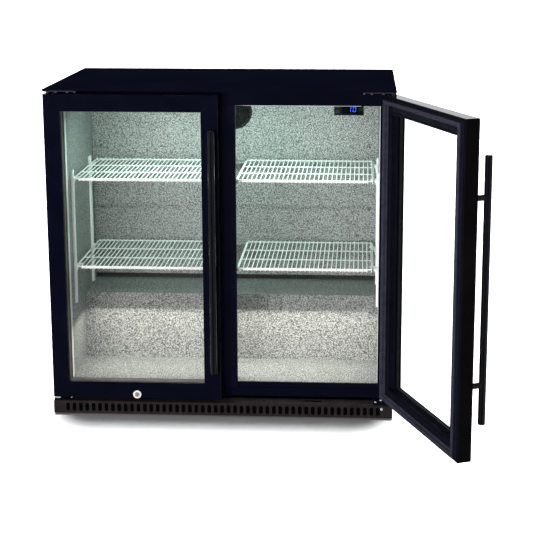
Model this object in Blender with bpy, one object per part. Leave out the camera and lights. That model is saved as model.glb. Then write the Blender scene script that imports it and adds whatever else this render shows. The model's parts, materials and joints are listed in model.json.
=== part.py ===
"""Undercounter back-bar refrigerator with two glass doors.

Units are metres and +Z is up.  The cabinet is laid out with X to the right, Y to
the back and Z from the floor; the plane Y = 0 is the front of the face frame that
the door gaskets close on.  The whole object is then moved by ROW_X and ROW_Y so
that the world origin lies under the middle of its bounding box.
The left door is stored closed and the right door is stored open.
"""
import math

import bmesh
import bpy
from mathutils import Matrix, Vector

for old in list(bpy.data.objects):
    bpy.data.objects.remove(old, do_unlink=True)

# ---------------------------------------------------------------- overall sizes
ROW_X = -0.1039         # places the bounding box's middle on X = 0
ROW_Y = -0.0207         # places the bounding box's middle on Y = 0
GAP = 0.0003            # clearance between neighbouring pieces
HALF_W = 0.4500         # half of the outer width
Y_FRONT = -0.0480       # front of the top, doors and kick grille
Y_BACK = 0.4720         # back of the rear panel
Z_TOP = 0.8700          # top of the worktop panel
Z_TOP_UNDER = 0.8660    # underside of the worktop panel
SKIN = 0.0012           # sheet-steel thickness

# ---------------------------------------------------------------- cabinet
CAV_X = 0.4100          # half width of the cavity
CAV_Z0 = 0.0800         # cavity floor
CAV_Z1 = 0.8250         # cavity ceiling
CAV_Y0 = 0.0123         # where the liner starts behind the face frame
CAV_Y1 = 0.4250         # cavity back wall
HUMP_Y = 0.2000         # front of the raised floor over the machine space
HUMP_Z = 0.2680         # top of the raised floor
LINER = 0.0010          # liner thickness
FRAME_T = 0.0120        # face frame thickness
FRAME_STEP = 0.0060     # depth of the first step of the sill
OPEN_Z0 = 0.0660        # bottom of the opening at the front of the face frame
BASE_Z = 0.0125         # underside of the base pan
MACHINE_Y = 0.2360      # front of the machine space
MACHINE_Z = 0.2280      # top of the machine space
MULLION_X = 0.0370      # half width of the mullion at the front
MULLION_BACK_X = 0.0300
MULLION_Y = 0.0500

# ---------------------------------------------------------------- kick grille
GRILLE_Z0, GRILLE_Z1 = 0.0040, 0.0385
GRILLE_T = 0.0015
GRILLE_BACK = -0.0045
SLOT_COUNT = 49
SLOT_PITCH = 0.01715
SLOT_W = 0.0100
SLOT_Z0, SLOT_Z1 = 0.0100, 0.0330

# ---------------------------------------------------------------- doors
DOOR_Z0, DOOR_Z1 = 0.0480, 0.8570
DOOR_Y0, DOOR_Y1 = -0.0480, -0.0120
DOOR_IN, DOOR_OUT = 0.0015, 0.4490    # distances of the door's side edges from X = 0
LIP_W = 0.0440          # width of the frame seen from the front
RAIL_W = 0.0360         # width of the frame behind the lip
LIP_T = 0.0020
PANE_T = 0.0040
SPACER_T = 0.0060
HINGE_X, HINGE_Y = 0.4400, -0.0290
PIN_R, PIN_HOLE_R = 0.0040, 0.0042
OPEN_ANGLE = math.radians(112.5)      # the right door's stored opening
GASKET_INSET = 0.0060
GASKET_W = 0.0170
GASKET_BACK = -0.0004
HANDLE_X = 0.0165       # distance of the handle's axis from X = 0
HANDLE_R = 0.0090
HANDLE_Z0, HANDLE_Z1 = 0.1300, 0.7700
HANDLE_OFF = 0.0315     # handle axis in front of the door
POST_R = 0.0070
POST_ZS = (0.2270, 0.6730)
LOCK_X = 0.2250
LOCK_Z = 0.0590
CAM_LEN = 0.0295
CAM_Y0, CAM_Y1 = -0.0215, -0.0175

# ---------------------------------------------------------------- shelves and fittings
SHELF_X0, SHELF_X1 = 0.0340, 0.3970
SHELF_Y0, SHELF_Y1 = 0.0300, 0.3350
SHELF_T = 0.0070
SHELF_TOPS = {"lower": 0.3900, "upper": 0.6280}
SHELF_SLOTS = 15
CLIP_T = 0.0060
STRIP_Z0, STRIP_Z1 = 0.2730, 0.6380
COVER_Y0, COVER_Y1 = 0.3550, 0.3562
COVER_Z0 = 0.2840
FAN_Z = 0.7600
FAN_HOLE_R = 0.0460

PARTS = {}              # name -> object, kept so that clearances can be read from one place


def paint(name, colour, rough, metal=0.0, alpha=1.0):
    mat = bpy.data.materials.new("mat_" + name)
    mat.use_nodes = True
    shader = mat.node_tree.nodes["Principled BSDF"]
    shader.inputs["Base Color"].default_value = (*colour, 1.0)
    shader.inputs["Roughness"].default_value = rough
    shader.inputs["Metallic"].default_value = metal
    shader.inputs["Alpha"].default_value = alpha
    return mat


FINISH = {
    "black_steel": ((0.010, 0.011, 0.016), 0.35, 0.0, 1.0),
    "black_frame": ((0.008, 0.009, 0.014), 0.25, 0.0, 1.0),
    "black_plastic": ((0.012, 0.012, 0.014), 0.5, 0.0, 1.0),
    "grille": ((0.020, 0.017, 0.019), 0.5, 0.0, 1.0),
    "foam": ((0.75, 0.68, 0.48), 0.9, 0.0, 1.0),
    "liner": ((0.62, 0.66, 0.63), 0.35, 0.9, 1.0),
    "zinc": ((0.55, 0.56, 0.58), 0.4, 0.9, 1.0),
    "chrome": ((0.70, 0.71, 0.73), 0.15, 1.0, 1.0),
    "white_wire": ((0.82, 0.83, 0.82), 0.4, 0.0, 1.0),
    "gasket": ((0.060, 0.066, 0.090), 0.7, 0.0, 1.0),
    "glass": ((0.80, 0.88, 0.86), 0.05, 0.0, 0.25),
    "display": ((0.010, 0.015, 0.060), 0.1, 0.0, 1.0),
    "led": ((0.95, 0.95, 0.90), 0.4, 0.0, 1.0),
}


def add_object(name, mesh, finish, smooth=False):
    ob = bpy.data.objects.new(name, mesh)
    bpy.context.scene.collection.objects.link(ob)
    mesh.name = name
    mesh.materials.clear()
    mesh.materials.append(paint(name, *FINISH[finish]))
    if smooth:
        mesh.polygons.foreach_set("use_smooth", [True] * len(mesh.polygons))
        mesh.set_sharp_from_angle(angle=math.radians(35))
    PARTS[name] = ob
    return ob


def blocks(name, add, finish, cut=()):
    """One solid made of boxes (x0, x1, y0, y1, z0, z1) less other boxes, on shared cut planes."""
    planes = []
    for axis in range(3):
        values = {round(b[2 * axis + k], 7) for b in (*add, *cut) for k in (0, 1)}
        low = min(b[2 * axis] for b in add)
        high = max(b[2 * axis + 1] for b in add)
        planes.append(sorted(v for v in values if low - 1e-9 <= v <= high + 1e-9))
    xs, ys, zs = planes

    def inside(box, x, y, z):
        return box[0] < x < box[1] and box[2] < y < box[3] and box[4] < z < box[5]

    filled = set()
    for i in range(len(xs) - 1):
        x = (xs[i] + xs[i + 1]) / 2
        adds = [b for b in add if b[0] < x < b[1]]
        cuts = [b for b in cut if b[0] < x < b[1]]
        for j in range(len(ys) - 1):
            y = (ys[j] + ys[j + 1]) / 2
            for k in range(len(zs) - 1):
                z = (zs[k] + zs[k + 1]) / 2
                if any(inside(b, x, y, z) for b in adds) and not any(
                    inside(b, x, y, z) for b in cuts
                ):
                    filled.add((i, j, k))
    bm = bmesh.new()
    made = {}

    def corner(i, j, k):
        if (i, j, k) not in made:
            made[(i, j, k)] = bm.verts.new((xs[i], ys[j], zs[k]))
        return made[(i, j, k)]

    sides = (
        ((-1, 0, 0), ((0, 0, 0), (0, 0, 1), (0, 1, 1), (0, 1, 0))),
        ((1, 0, 0), ((1, 0, 0), (1, 1, 0), (1, 1, 1), (1, 0, 1))),
        ((0, -1, 0), ((0, 0, 0), (1, 0, 0), (1, 0, 1), (0, 0, 1))),
        ((0, 1, 0), ((0, 1, 0), (0, 1, 1), (1, 1, 1), (1, 1, 0))),
        ((0, 0, -1), ((0, 0, 0), (0, 1, 0), (1, 1, 0), (1, 0, 0))),
        ((0, 0, 1), ((0, 0, 1), (1, 0, 1), (1, 1, 1), (0, 1, 1))),
    )
    for i, j, k in sorted(filled):
        for (di, dj, dk), quad in sides:
            if (i + di, j + dj, k + dk) not in filled:
                bm.faces.new([corner(i + a, j + b, k + c) for a, b, c in quad])
    bmesh.ops.dissolve_limit(
        bm, angle_limit=0.01, verts=bm.verts[:], edges=bm.edges[:], delimit={"NORMAL"}
    )
    mesh = bpy.data.meshes.new(name)
    bm.to_mesh(mesh)
    bm.free()
    return add_object(name, mesh, finish)


def soften(ob, width, keep=lambda a, b: True):
    """Chamfers the sharp edges of a solid that keep() accepts."""
    bm = bmesh.new()
    bm.from_mesh(ob.data)
    edges = [
        e
        for e in bm.edges
        if len(e.link_faces) == 2
        and e.calc_face_angle() > 1.0
        and keep(e.verts[0].co, e.verts[1].co)
    ]
    bmesh.ops.bevel(
        bm, geom=edges, offset=width, segments=1, profile=0.5, affect="EDGES", clamp_overlap=True
    )
    bm.to_mesh(ob.data)
    bm.free()
    return ob


AXES = {
    "X": Matrix(((0, 0, 1), (1, 0, 0), (0, 1, 0))),
    "Y": Matrix(((1, 0, 0), (0, 0, 1), (0, -1, 0))),
    "Z": Matrix.Identity(3),
}


def turned(name, centre, axis, profile, finish, count=24):
    """A solid of revolution: profile is (radius, height) from one end of the axis to the other."""
    bm = bmesh.new()
    turn = AXES[axis]
    rings = []
    for radius, height in profile:
        if radius == 0:
            rings.append([bm.verts.new(Vector(centre) + turn @ Vector((0, 0, height)))])
            continue
        ring = []
        for s in range(count):
            a = 2 * math.pi * (s + 0.5) / count
            p = Vector((radius * math.cos(a), radius * math.sin(a), height))
            ring.append(bm.verts.new(Vector(centre) + turn @ p))
        rings.append(ring)
    for low, high in zip(rings, rings[1:]):
        for s in range(count):
            t = (s + 1) % count
            if len(low) == 1:
                bm.faces.new((low[0], high[t], high[s]))
            elif len(high) == 1:
                bm.faces.new((low[s], low[t], high[0]))
            else:
                bm.faces.new((low[s], low[t], high[t], high[s]))
    bmesh.ops.recalc_face_normals(bm, faces=bm.faces[:])
    bmesh.ops.dissolve_limit(
        bm, angle_limit=0.01, verts=bm.verts[:], edges=bm.edges[:], delimit={"NORMAL"}
    )
    mesh = bpy.data.meshes.new(name)
    bm.to_mesh(mesh)
    bm.free()
    return add_object(name, mesh, finish, smooth=True)


def rod(name, centre, axis, radius, low, high, finish, count=24, chamfer=0.0):
    if chamfer:
        profile = [(0, low), (radius - chamfer, low), (radius, low + chamfer),
                   (radius, high - chamfer), (radius - chamfer, high), (0, high)]
    else:
        profile = [(0, low), (radius, low), (radius, high), (0, high)]
    return turned(name, centre, axis, profile, finish, count)


def wheel(name, centre, radii, count, y0, y1, filled, finish):
    """A flat ring solid round the Y axis: filled(ring, sector) says which cells are solid."""
    bm = bmesh.new()
    made = {}

    def corner(r, s, y):
        s %= count
        key = (r, 0 if radii[r] == 0 else s, y)
        if key not in made:
            a = 2 * math.pi * s / count
            made[key] = bm.verts.new(
                (centre[0] + radii[r] * math.cos(a), (y0, y1)[y], centre[1] + radii[r] * math.sin(a))
            )
        return made[key]

    def face(*keys):
        verts = []
        for key in keys:
            v = corner(*key)
            if v not in verts:
                verts.append(v)
        if len(verts) > 2:
            bm.faces.new(verts)

    rings = len(radii) - 1
    for r in range(rings):
        for s in range(count):
            if not filled(r, s):
                continue
            face((r, s, 0), (r + 1, s, 0), (r + 1, s + 1, 0), (r, s + 1, 0))
            face((r, s + 1, 1), (r + 1, s + 1, 1), (r + 1, s, 1), (r, s, 1))
            if r == rings - 1 or not filled(r + 1, s):
                face((r + 1, s, 0), (r + 1, s, 1), (r + 1, s + 1, 1), (r + 1, s + 1, 0))
            if radii[r] > 0 and (r == 0 or not filled(r - 1, s)):
                face((r, s + 1, 0), (r, s + 1, 1), (r, s, 1), (r, s, 0))
            if not filled(r, (s + 1) % count):
                face((r, s + 1, 0), (r + 1, s + 1, 0), (r + 1, s + 1, 1), (r, s + 1, 1))
            if not filled(r, (s - 1) % count):
                face((r, s, 1), (r + 1, s, 1), (r + 1, s, 0), (r, s, 0))
    bmesh.ops.recalc_face_normals(bm, faces=bm.faces[:])
    mesh = bpy.data.meshes.new(name)
    bm.to_mesh(mesh)
    bm.free()
    return add_object(name, mesh, finish, smooth=True)


def combine(base, tool, operation):
    """Applies an exact Boolean and removes the tool."""
    mod = base.modifiers.new("combine", "BOOLEAN")
    mod.object = tool
    mod.operation = operation
    mod.solver = "EXACT"
    graph = bpy.context.evaluated_depsgraph_get()
    mesh = bpy.data.meshes.new_from_object(base.evaluated_get(graph))
    base.modifiers.clear()
    old = base.data
    base.data = mesh
    bpy.data.meshes.remove(old)
    keep = mesh.materials[0]
    mesh.materials.clear()
    mesh.materials.append(keep)
    mesh.name = base.name
    PARTS.pop(tool.name, None)
    bpy.data.objects.remove(tool, do_unlink=True)
    return base


# ---------------------------------------------------------------- outer shell
top = blocks(
    "top_panel",
    [(-HALF_W, HALF_W, Y_FRONT, Y_BACK, Z_TOP_UNDER, Z_TOP)],
    "black_steel",
)
soften(top, 0.0010, lambda a, b: a.z > 0.869 and b.z > 0.869)

for side, sx in (("left", -1), ("right", 1)):
    x0, x1 = sorted((sx * HALF_W, sx * (HALF_W - SKIN)))
    blocks(
        "side_panel_" + side,
        [(x0, x1, 0.0, Y_BACK - SKIN - GAP, BASE_Z, Z_TOP_UNDER - GAP)],
        "black_steel",
    )

blocks(
    "rear_panel",
    [(-HALF_W, HALF_W, Y_BACK - SKIN, Y_BACK, MACHINE_Z + 0.006, Z_TOP_UNDER - GAP)],
    "zinc",
)
louvres = []
for bank in (-1, 1):
    for n in range(10):
        z = 0.046 + 0.0165 * n
        louvres.append(sorted((bank * 0.060, bank * 0.380)) + [0.4, 0.5, z, z + 0.0075])
blocks(
    "rear_grille",
    [(-HALF_W, HALF_W, Y_BACK - SKIN, Y_BACK, BASE_Z, MACHINE_Z + 0.006 - GAP)],
    "zinc",
    cut=[tuple(b) for b in louvres],
)

PAN_TOP = BASE_Z + 0.0015
PAN_X = HALF_W - SKIN - GAP
pan_boxes = [(-PAN_X, PAN_X, 0.0, Y_BACK - SKIN - GAP, BASE_Z, PAN_TOP)]
for sx in (-1, 1):
    tab = sorted((sx * 0.396, sx * PAN_X))
    pan_boxes.append((*tab, 0.0, 0.0015, BASE_Z, 0.0424))
    rib = sorted((sx * 0.4400, sx * 0.4415))
    pan_boxes.append((*rib, FRAME_T + GAP, MACHINE_Y - 0.004, BASE_Z, 0.0447))
pan_boxes.append((-0.0200, 0.0200, 0.0200, 0.0215, BASE_Z, 0.0447))
pan_boxes.append((-PAN_X, PAN_X, MACHINE_Y - 0.006, MACHINE_Y - 0.0045, BASE_Z, 0.0200))
blocks("base_pan", pan_boxes, "zinc")

# ---------------------------------------------------------------- insulated body
FOAM_X = PAN_X
blocks(
    "insulation",
    [(-FOAM_X, FOAM_X, CAV_Y0, Y_BACK - SKIN - GAP, 0.0450, Z_TOP_UNDER - GAP)],
    "foam",
    cut=[
        (-CAV_X - LINER - GAP, CAV_X + LINER + GAP, -0.1, HUMP_Y + GAP,
         CAV_Z0 - LINER - GAP, CAV_Z1 + LINER + GAP),
        (-CAV_X - LINER - GAP, CAV_X + LINER + GAP, HUMP_Y,
         CAV_Y1 + LINER + GAP, HUMP_Z - LINER - GAP, CAV_Z1 + LINER + GAP),
        (-0.5, 0.5, MACHINE_Y, 0.6, 0.0, MACHINE_Z),
    ],
)
# The liner's skin is left where the outer boxes are cut by the cavity boxes.
blocks(
    "inner_liner",
    [
        (-CAV_X - LINER, CAV_X + LINER, CAV_Y0, HUMP_Y, CAV_Z0 - LINER, CAV_Z1 + LINER),
        (-CAV_X - LINER, CAV_X + LINER, HUMP_Y - LINER, CAV_Y1 + LINER, HUMP_Z - LINER,
         CAV_Z1 + LINER),
    ],
    "liner",
    cut=[
        (-CAV_X, CAV_X, -0.1, HUMP_Y - LINER, CAV_Z0, CAV_Z1),
        (-CAV_X, CAV_X, -0.1, CAV_Y1, HUMP_Z, CAV_Z1),
    ],
)
blocks(
    "face_frame",
    [(-PAN_X, PAN_X, 0.0, FRAME_T, 0.0430, Z_TOP_UNDER - GAP)],
    "black_steel",
    cut=[
        (-CAV_X, CAV_X, -0.1, FRAME_STEP, OPEN_Z0, CAV_Z1),
        (-CAV_X, CAV_X, -0.1, 0.1, CAV_Z0 - GAP, CAV_Z1),
    ],
)

clips = []
for top_z in SHELF_TOPS.values():
    z1 = top_z - SHELF_T - GAP
    clips.append((z1 - CLIP_T, z1))

mullion_boxes = [
    (-MULLION_X, MULLION_X, 0.0, FRAME_STEP - GAP, OPEN_Z0 + GAP, CAV_Z1 - GAP),
    (-MULLION_X, MULLION_X, FRAME_STEP - GAP, 0.0150, CAV_Z0 + GAP, CAV_Z1 - GAP),
    (-MULLION_BACK_X, MULLION_BACK_X, 0.0150, MULLION_Y, CAV_Z0 + GAP, CAV_Z1 - GAP),
]
for z0, z1 in clips:
    mullion_boxes.append((-0.0460, 0.0460, 0.0340, 0.0460, z0, z1))
blocks("mullion", mullion_boxes, "black_steel")

# ---------------------------------------------------------------- kick grille with cam slots
first = -SLOT_PITCH * (SLOT_COUNT - 1) / 2
grille_cuts = [
    (-HALF_W + 0.0005 + GRILLE_T, HALF_W - 0.0005 - GRILLE_T, Y_FRONT + GRILLE_T, 0.1, 0.0,
     GRILLE_Z1 - GRILLE_T),
]
for n in range(SLOT_COUNT):
    x = first + SLOT_PITCH * n
    grille_cuts.append((x - SLOT_W / 2, x + SLOT_W / 2, -0.1, Y_FRONT + GRILLE_T, SLOT_Z0, SLOT_Z1))
for sx in (-1, 1):
    x = sx * LOCK_X
    grille_cuts.append((x - 0.0100, x + 0.0400, -0.0265, -0.0125, 0.0300, 0.0500))
blocks(
    "kick_grille",
    [(-HALF_W + 0.0005, HALF_W - 0.0005, Y_FRONT, GRILLE_BACK, GRILLE_Z0, GRILLE_Z1)],
    "grille",
    cut=grille_cuts,
)

# ---------------------------------------------------------------- hinge brackets
for side, sx in (("left", -1), ("right", 1)):
    plate = sorted((sx * 0.3640, sx * 0.4490))
    z1 = Z_TOP_UNDER - GAP
    bracket = blocks(
        "hinge_top_" + side,
        [
            (*plate, -0.0440, -GAP * 2, z1 - 0.0030, z1),
            (*sorted((sx * 0.4180, sx * 0.4195)), -0.0440, -0.0200, DOOR_Z1 + 0.0012, z1),
        ],
        "black_steel",
    )
    pin = rod("pin", (sx * HINGE_X, HINGE_Y, 0), "Z", PIN_R, DOOR_Z1 - 0.0120, z1 - 0.0010,
              "chrome", 20, 0.0008)
    combine(bracket, pin, "UNION")

    plate = sorted((sx * 0.3980, sx * 0.4490))
    z0 = GRILLE_Z1 + GAP
    bracket = blocks(
        "hinge_bottom_" + side,
        [
            (*plate, -0.0440, -GAP * 2, z0, z0 + 0.0030),
            (*plate, -0.0036, -GAP * 2, 0.0160, z0 + 0.0030),
        ],
        "zinc",
    )
    pin = turned(
        "pin", (sx * HINGE_X, HINGE_Y, 0), "Z",
        [(0, z0 + 0.0010), (0.0070, z0 + 0.0010), (0.0070, DOOR_Z0 - 0.0006),
         (PIN_R, DOOR_Z0 - 0.0006), (PIN_R, DOOR_Z0 + 0.0120), (0, DOOR_Z0 + 0.0120)],
        "chrome", 20,
    )
    combine(bracket, pin, "UNION")

# ---------------------------------------------------------------- cold-air unit
cover = blocks(
    "evaporator_cover",
    [
        (-CAV_X + 0.0005, CAV_X - 0.0005, COVER_Y0, COVER_Y1, COVER_Z0, CAV_Z1 - GAP),
        (-CAV_X + 0.0005, CAV_X - 0.0005, COVER_Y0, 0.3720, COVER_Z0, COVER_Z0 + 0.0012),
        *[(-0.0600, 0.0600, 0.3250, COVER_Y1, z0, z1) for z0, z1 in clips],
    ],
    "liner",
)
hole = rod("hole", (0, 0, FAN_Z), "Y", FAN_HOLE_R, 0.3400, 0.3700, "liner", 32)
combine(cover, hole, "DIFFERENCE")
wheel(
    "evap_fan_guard", (0, FAN_Z), (0.0, 0.0110, 0.0250, 0.0290, 0.0440, 0.0500), 24,
    COVER_Y0 - GAP - 0.0030, COVER_Y0 - GAP,
    lambda r, s: r in (0, 2, 4) or s % 6 == 0,
    "black_plastic",
)
turned(
    "evap_fan_motor", (0, 0, FAN_Z), "Y",
    [(0, 0.3755), (0.0180, 0.3755), (0.0210, 0.3785), (0.0210, 0.4080), (0.0120, 0.4110),
     (0.0120, CAV_Y1 - GAP), (0, CAV_Y1 - GAP)],
    "black_plastic", 20,
)
fins = [(-0.3000, 0.3000, 0.4070, 0.4110, 0.4200, 0.6600)]
for n in range(25):
    x = -0.3000 + 0.0249 * n
    fins.append((x, x + 0.0024, 0.3760, 0.4070, 0.4200, 0.6600))
blocks("evaporator_coil", fins, "zinc")


def impeller(name, centre, hub, tip, y0, y1, blades, finish, lead=0.5):
    """A fan wheel: one closed solid whose blades twist between its front and back faces."""
    bm = bmesh.new()
    outline = []
    steps = 4
    for b in range(blades):
        a0 = 2 * math.pi * b / blades
        span = 2 * math.pi / blades
        outline += [(hub, a0), (hub, a0 + span * 0.28)]
        outline += [(tip, a0 + span * (0.24 + 0.50 * s / steps)) for s in range(steps + 1)]
    rings = []
    for y, twist in ((y0, 0.0), ((y0 + y1) / 2, lead / 2), (y1, lead)):
        ring = []
        for radius, a in outline:
            turn = twist if radius > hub else twist
            ring.append(
                bm.verts.new(
                    (centre[0] + radius * math.cos(a + turn), y,
                     centre[1] + radius * math.sin(a + turn))
                )
            )
        rings.append(ring)
    count = len(outline)
    for low, high in zip(rings, rings[1:]):
        for s in range(count):
            t = (s + 1) % count
            bm.faces.new((low[s], low[t], high[t], high[s]))
    bm.faces.new(rings[0])
    bm.faces.new(rings[-1])
    bmesh.ops.recalc_face_normals(bm, faces=bm.faces[:])
    mesh = bpy.data.meshes.new(name)
    bm.to_mesh(mesh)
    bm.free()
    return add_object(name, mesh, finish, smooth=True)


impeller("evap_fan_blades", (0, FAN_Z), 0.0140, 0.0425, 0.3600, 0.3735, 5, "black_plastic")

# ---------------------------------------------------------------- machine space
turned(
    "compressor", (-0.2200, 0.3520, 0), "Z",
    [(0, PAN_TOP + GAP), (0.0700, PAN_TOP + GAP), (0.0700, 0.0240), (0.0780, 0.0300),
     (0.0820, 0.0600), (0.0820, 0.1000), (0.0840, 0.1020), (0.0840, 0.1060), (0.0820, 0.1080),
     (0.0780, 0.1500), (0.0600, 0.1830), (0.0300, 0.1980), (0, 0.2010)],
    "black_steel", 24,
)
fins = [
    (0.0400, 0.2800, 0.3180, 0.3220, PAN_TOP + GAP, 0.2050),
    (0.1400, 0.1800, 0.3220, 0.3460, 0.0900, 0.1300),
]
for n in range(13):
    x = 0.0400 + 0.0198 * n
    fins.append((x, x + 0.0024, 0.2700, 0.3180, PAN_TOP + GAP, 0.2050))
blocks("condenser", fins, "black_steel")
impeller("condenser_fan_blades", (0.1600, 0.1100), 0.0200, 0.0750, 0.3500, 0.3660, 5, "zinc")
turned(
    "cord_gland", (-0.3300, 0, 0.0300), "Y",
    [(0, Y_BACK + GAP), (0.0120, Y_BACK + GAP), (0.0120, Y_BACK + 0.0025), (0.0085, Y_BACK + 0.0035),
     (0.0065, Y_BACK + 0.0100), (0, Y_BACK + 0.0100)],
    "black_plastic", 20,
)

# ---------------------------------------------------------------- controller and its keys
CTRL = (0.2890, 0.3670, 0.1000, 0.1650, 0.7870, CAV_Z1 - GAP)
KEYS = {
    "key_up": (0.2945, 0.3035, 0.8070, 0.8125),
    "key_down": (0.2945, 0.3035, 0.7940, 0.7995),
    "key_set": (0.3555, 0.3645, 0.8005, 0.8060),
}
WINDOW = (0.3100, 0.3520, 0.7915, 0.8140)
blocks(
    "controller",
    [CTRL],
    "black_plastic",
    cut=[(x0 - 0.0005, x1 + 0.0005, 0.05, 0.1036, z0 - 0.0005, z1 + 0.0005)
         for x0, x1, z0, z1 in KEYS.values()]
    + [(WINDOW[0] - GAP, WINDOW[1] + GAP, 0.05, 0.1018, WINDOW[2] - GAP, WINDOW[3] + GAP)],
)
blocks("display", [(WINDOW[0], WINDOW[1], 0.0995, 0.1015, WINDOW[2], WINDOW[3])], "display")
for name, (x0, x1, z0, z1) in KEYS.items():
    blocks(name, [(x0, x1, 0.0988, 0.1027, z0, z1)], "black_plastic")

blocks("led_strip", [(-0.3600, 0.3600, 0.0530, 0.0660, 0.8140, CAV_Z1 - GAP)], "led")

# ---------------------------------------------------------------- shelf strips and shelves
for place, y0 in (("front", 0.0700), ("rear", 0.2950)):
    for side, sx in (("left", -1), ("right", 1)):
        strip = sorted((sx * (CAV_X - GAP), sx * 0.4040))
        clip = sorted((sx * (CAV_X - GAP), sx * 0.3860))
        blocks(
            f"strip_{place}_{side}",
            [(*strip, y0, y0 + 0.0150, STRIP_Z0, STRIP_Z1)]
            + [(*clip, y0 + 0.0015, y0 + 0.0135, z0, z1) for z0, z1 in clips],
            "white_wire",
        )

for level, top_z in SHELF_TOPS.items():
    for side, sx in (("left", -1), ("right", 1)):
        x0, x1 = sorted((sx * SHELF_X0, sx * SHELF_X1))
        border = 0.0100
        pitch = (x1 - x0 - 2 * border + 0.0060) / SHELF_SLOTS
        cuts = [
            (x0 + border + pitch * n, x0 + border + pitch * (n + 1) - 0.0060,
             SHELF_Y0 + 0.0080, SHELF_Y1 - 0.0080, 0.0, 1.0)
            for n in range(SHELF_SLOTS)
        ]
        blocks(
            f"shelf_{level}_{side}",
            [(x0, x1, SHELF_Y0, SHELF_Y1, top_z - SHELF_T, top_z)],
            "white_wire",
            cut=cuts,
        )

# ---------------------------------------------------------------- levelling feet
FEET = {"front_left": (-0.4000, 0.0400), "front_right": (0.4000, 0.0400),
        "rear_left": (-0.4000, 0.4300), "rear_right": (0.4000, 0.4300)}
for name, (x, y) in FEET.items():
    turned(
        "foot_" + name, (x, y, 0), "Z",
        [(0, 0), (0.0190, 0), (0.0190, 0.0050), (0.0130, 0.0080), (0.0060, 0.0080),
         (0.0060, BASE_Z - GAP), (0, BASE_Z - GAP)],
        "black_plastic", 20,
    )


# ---------------------------------------------------------------- doors
def ring_cut(x0, x1, z0, z1, width):
    return (x0 + width, x1 - width, -0.2, 0.2, z0 + width, z1 - width)


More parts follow.
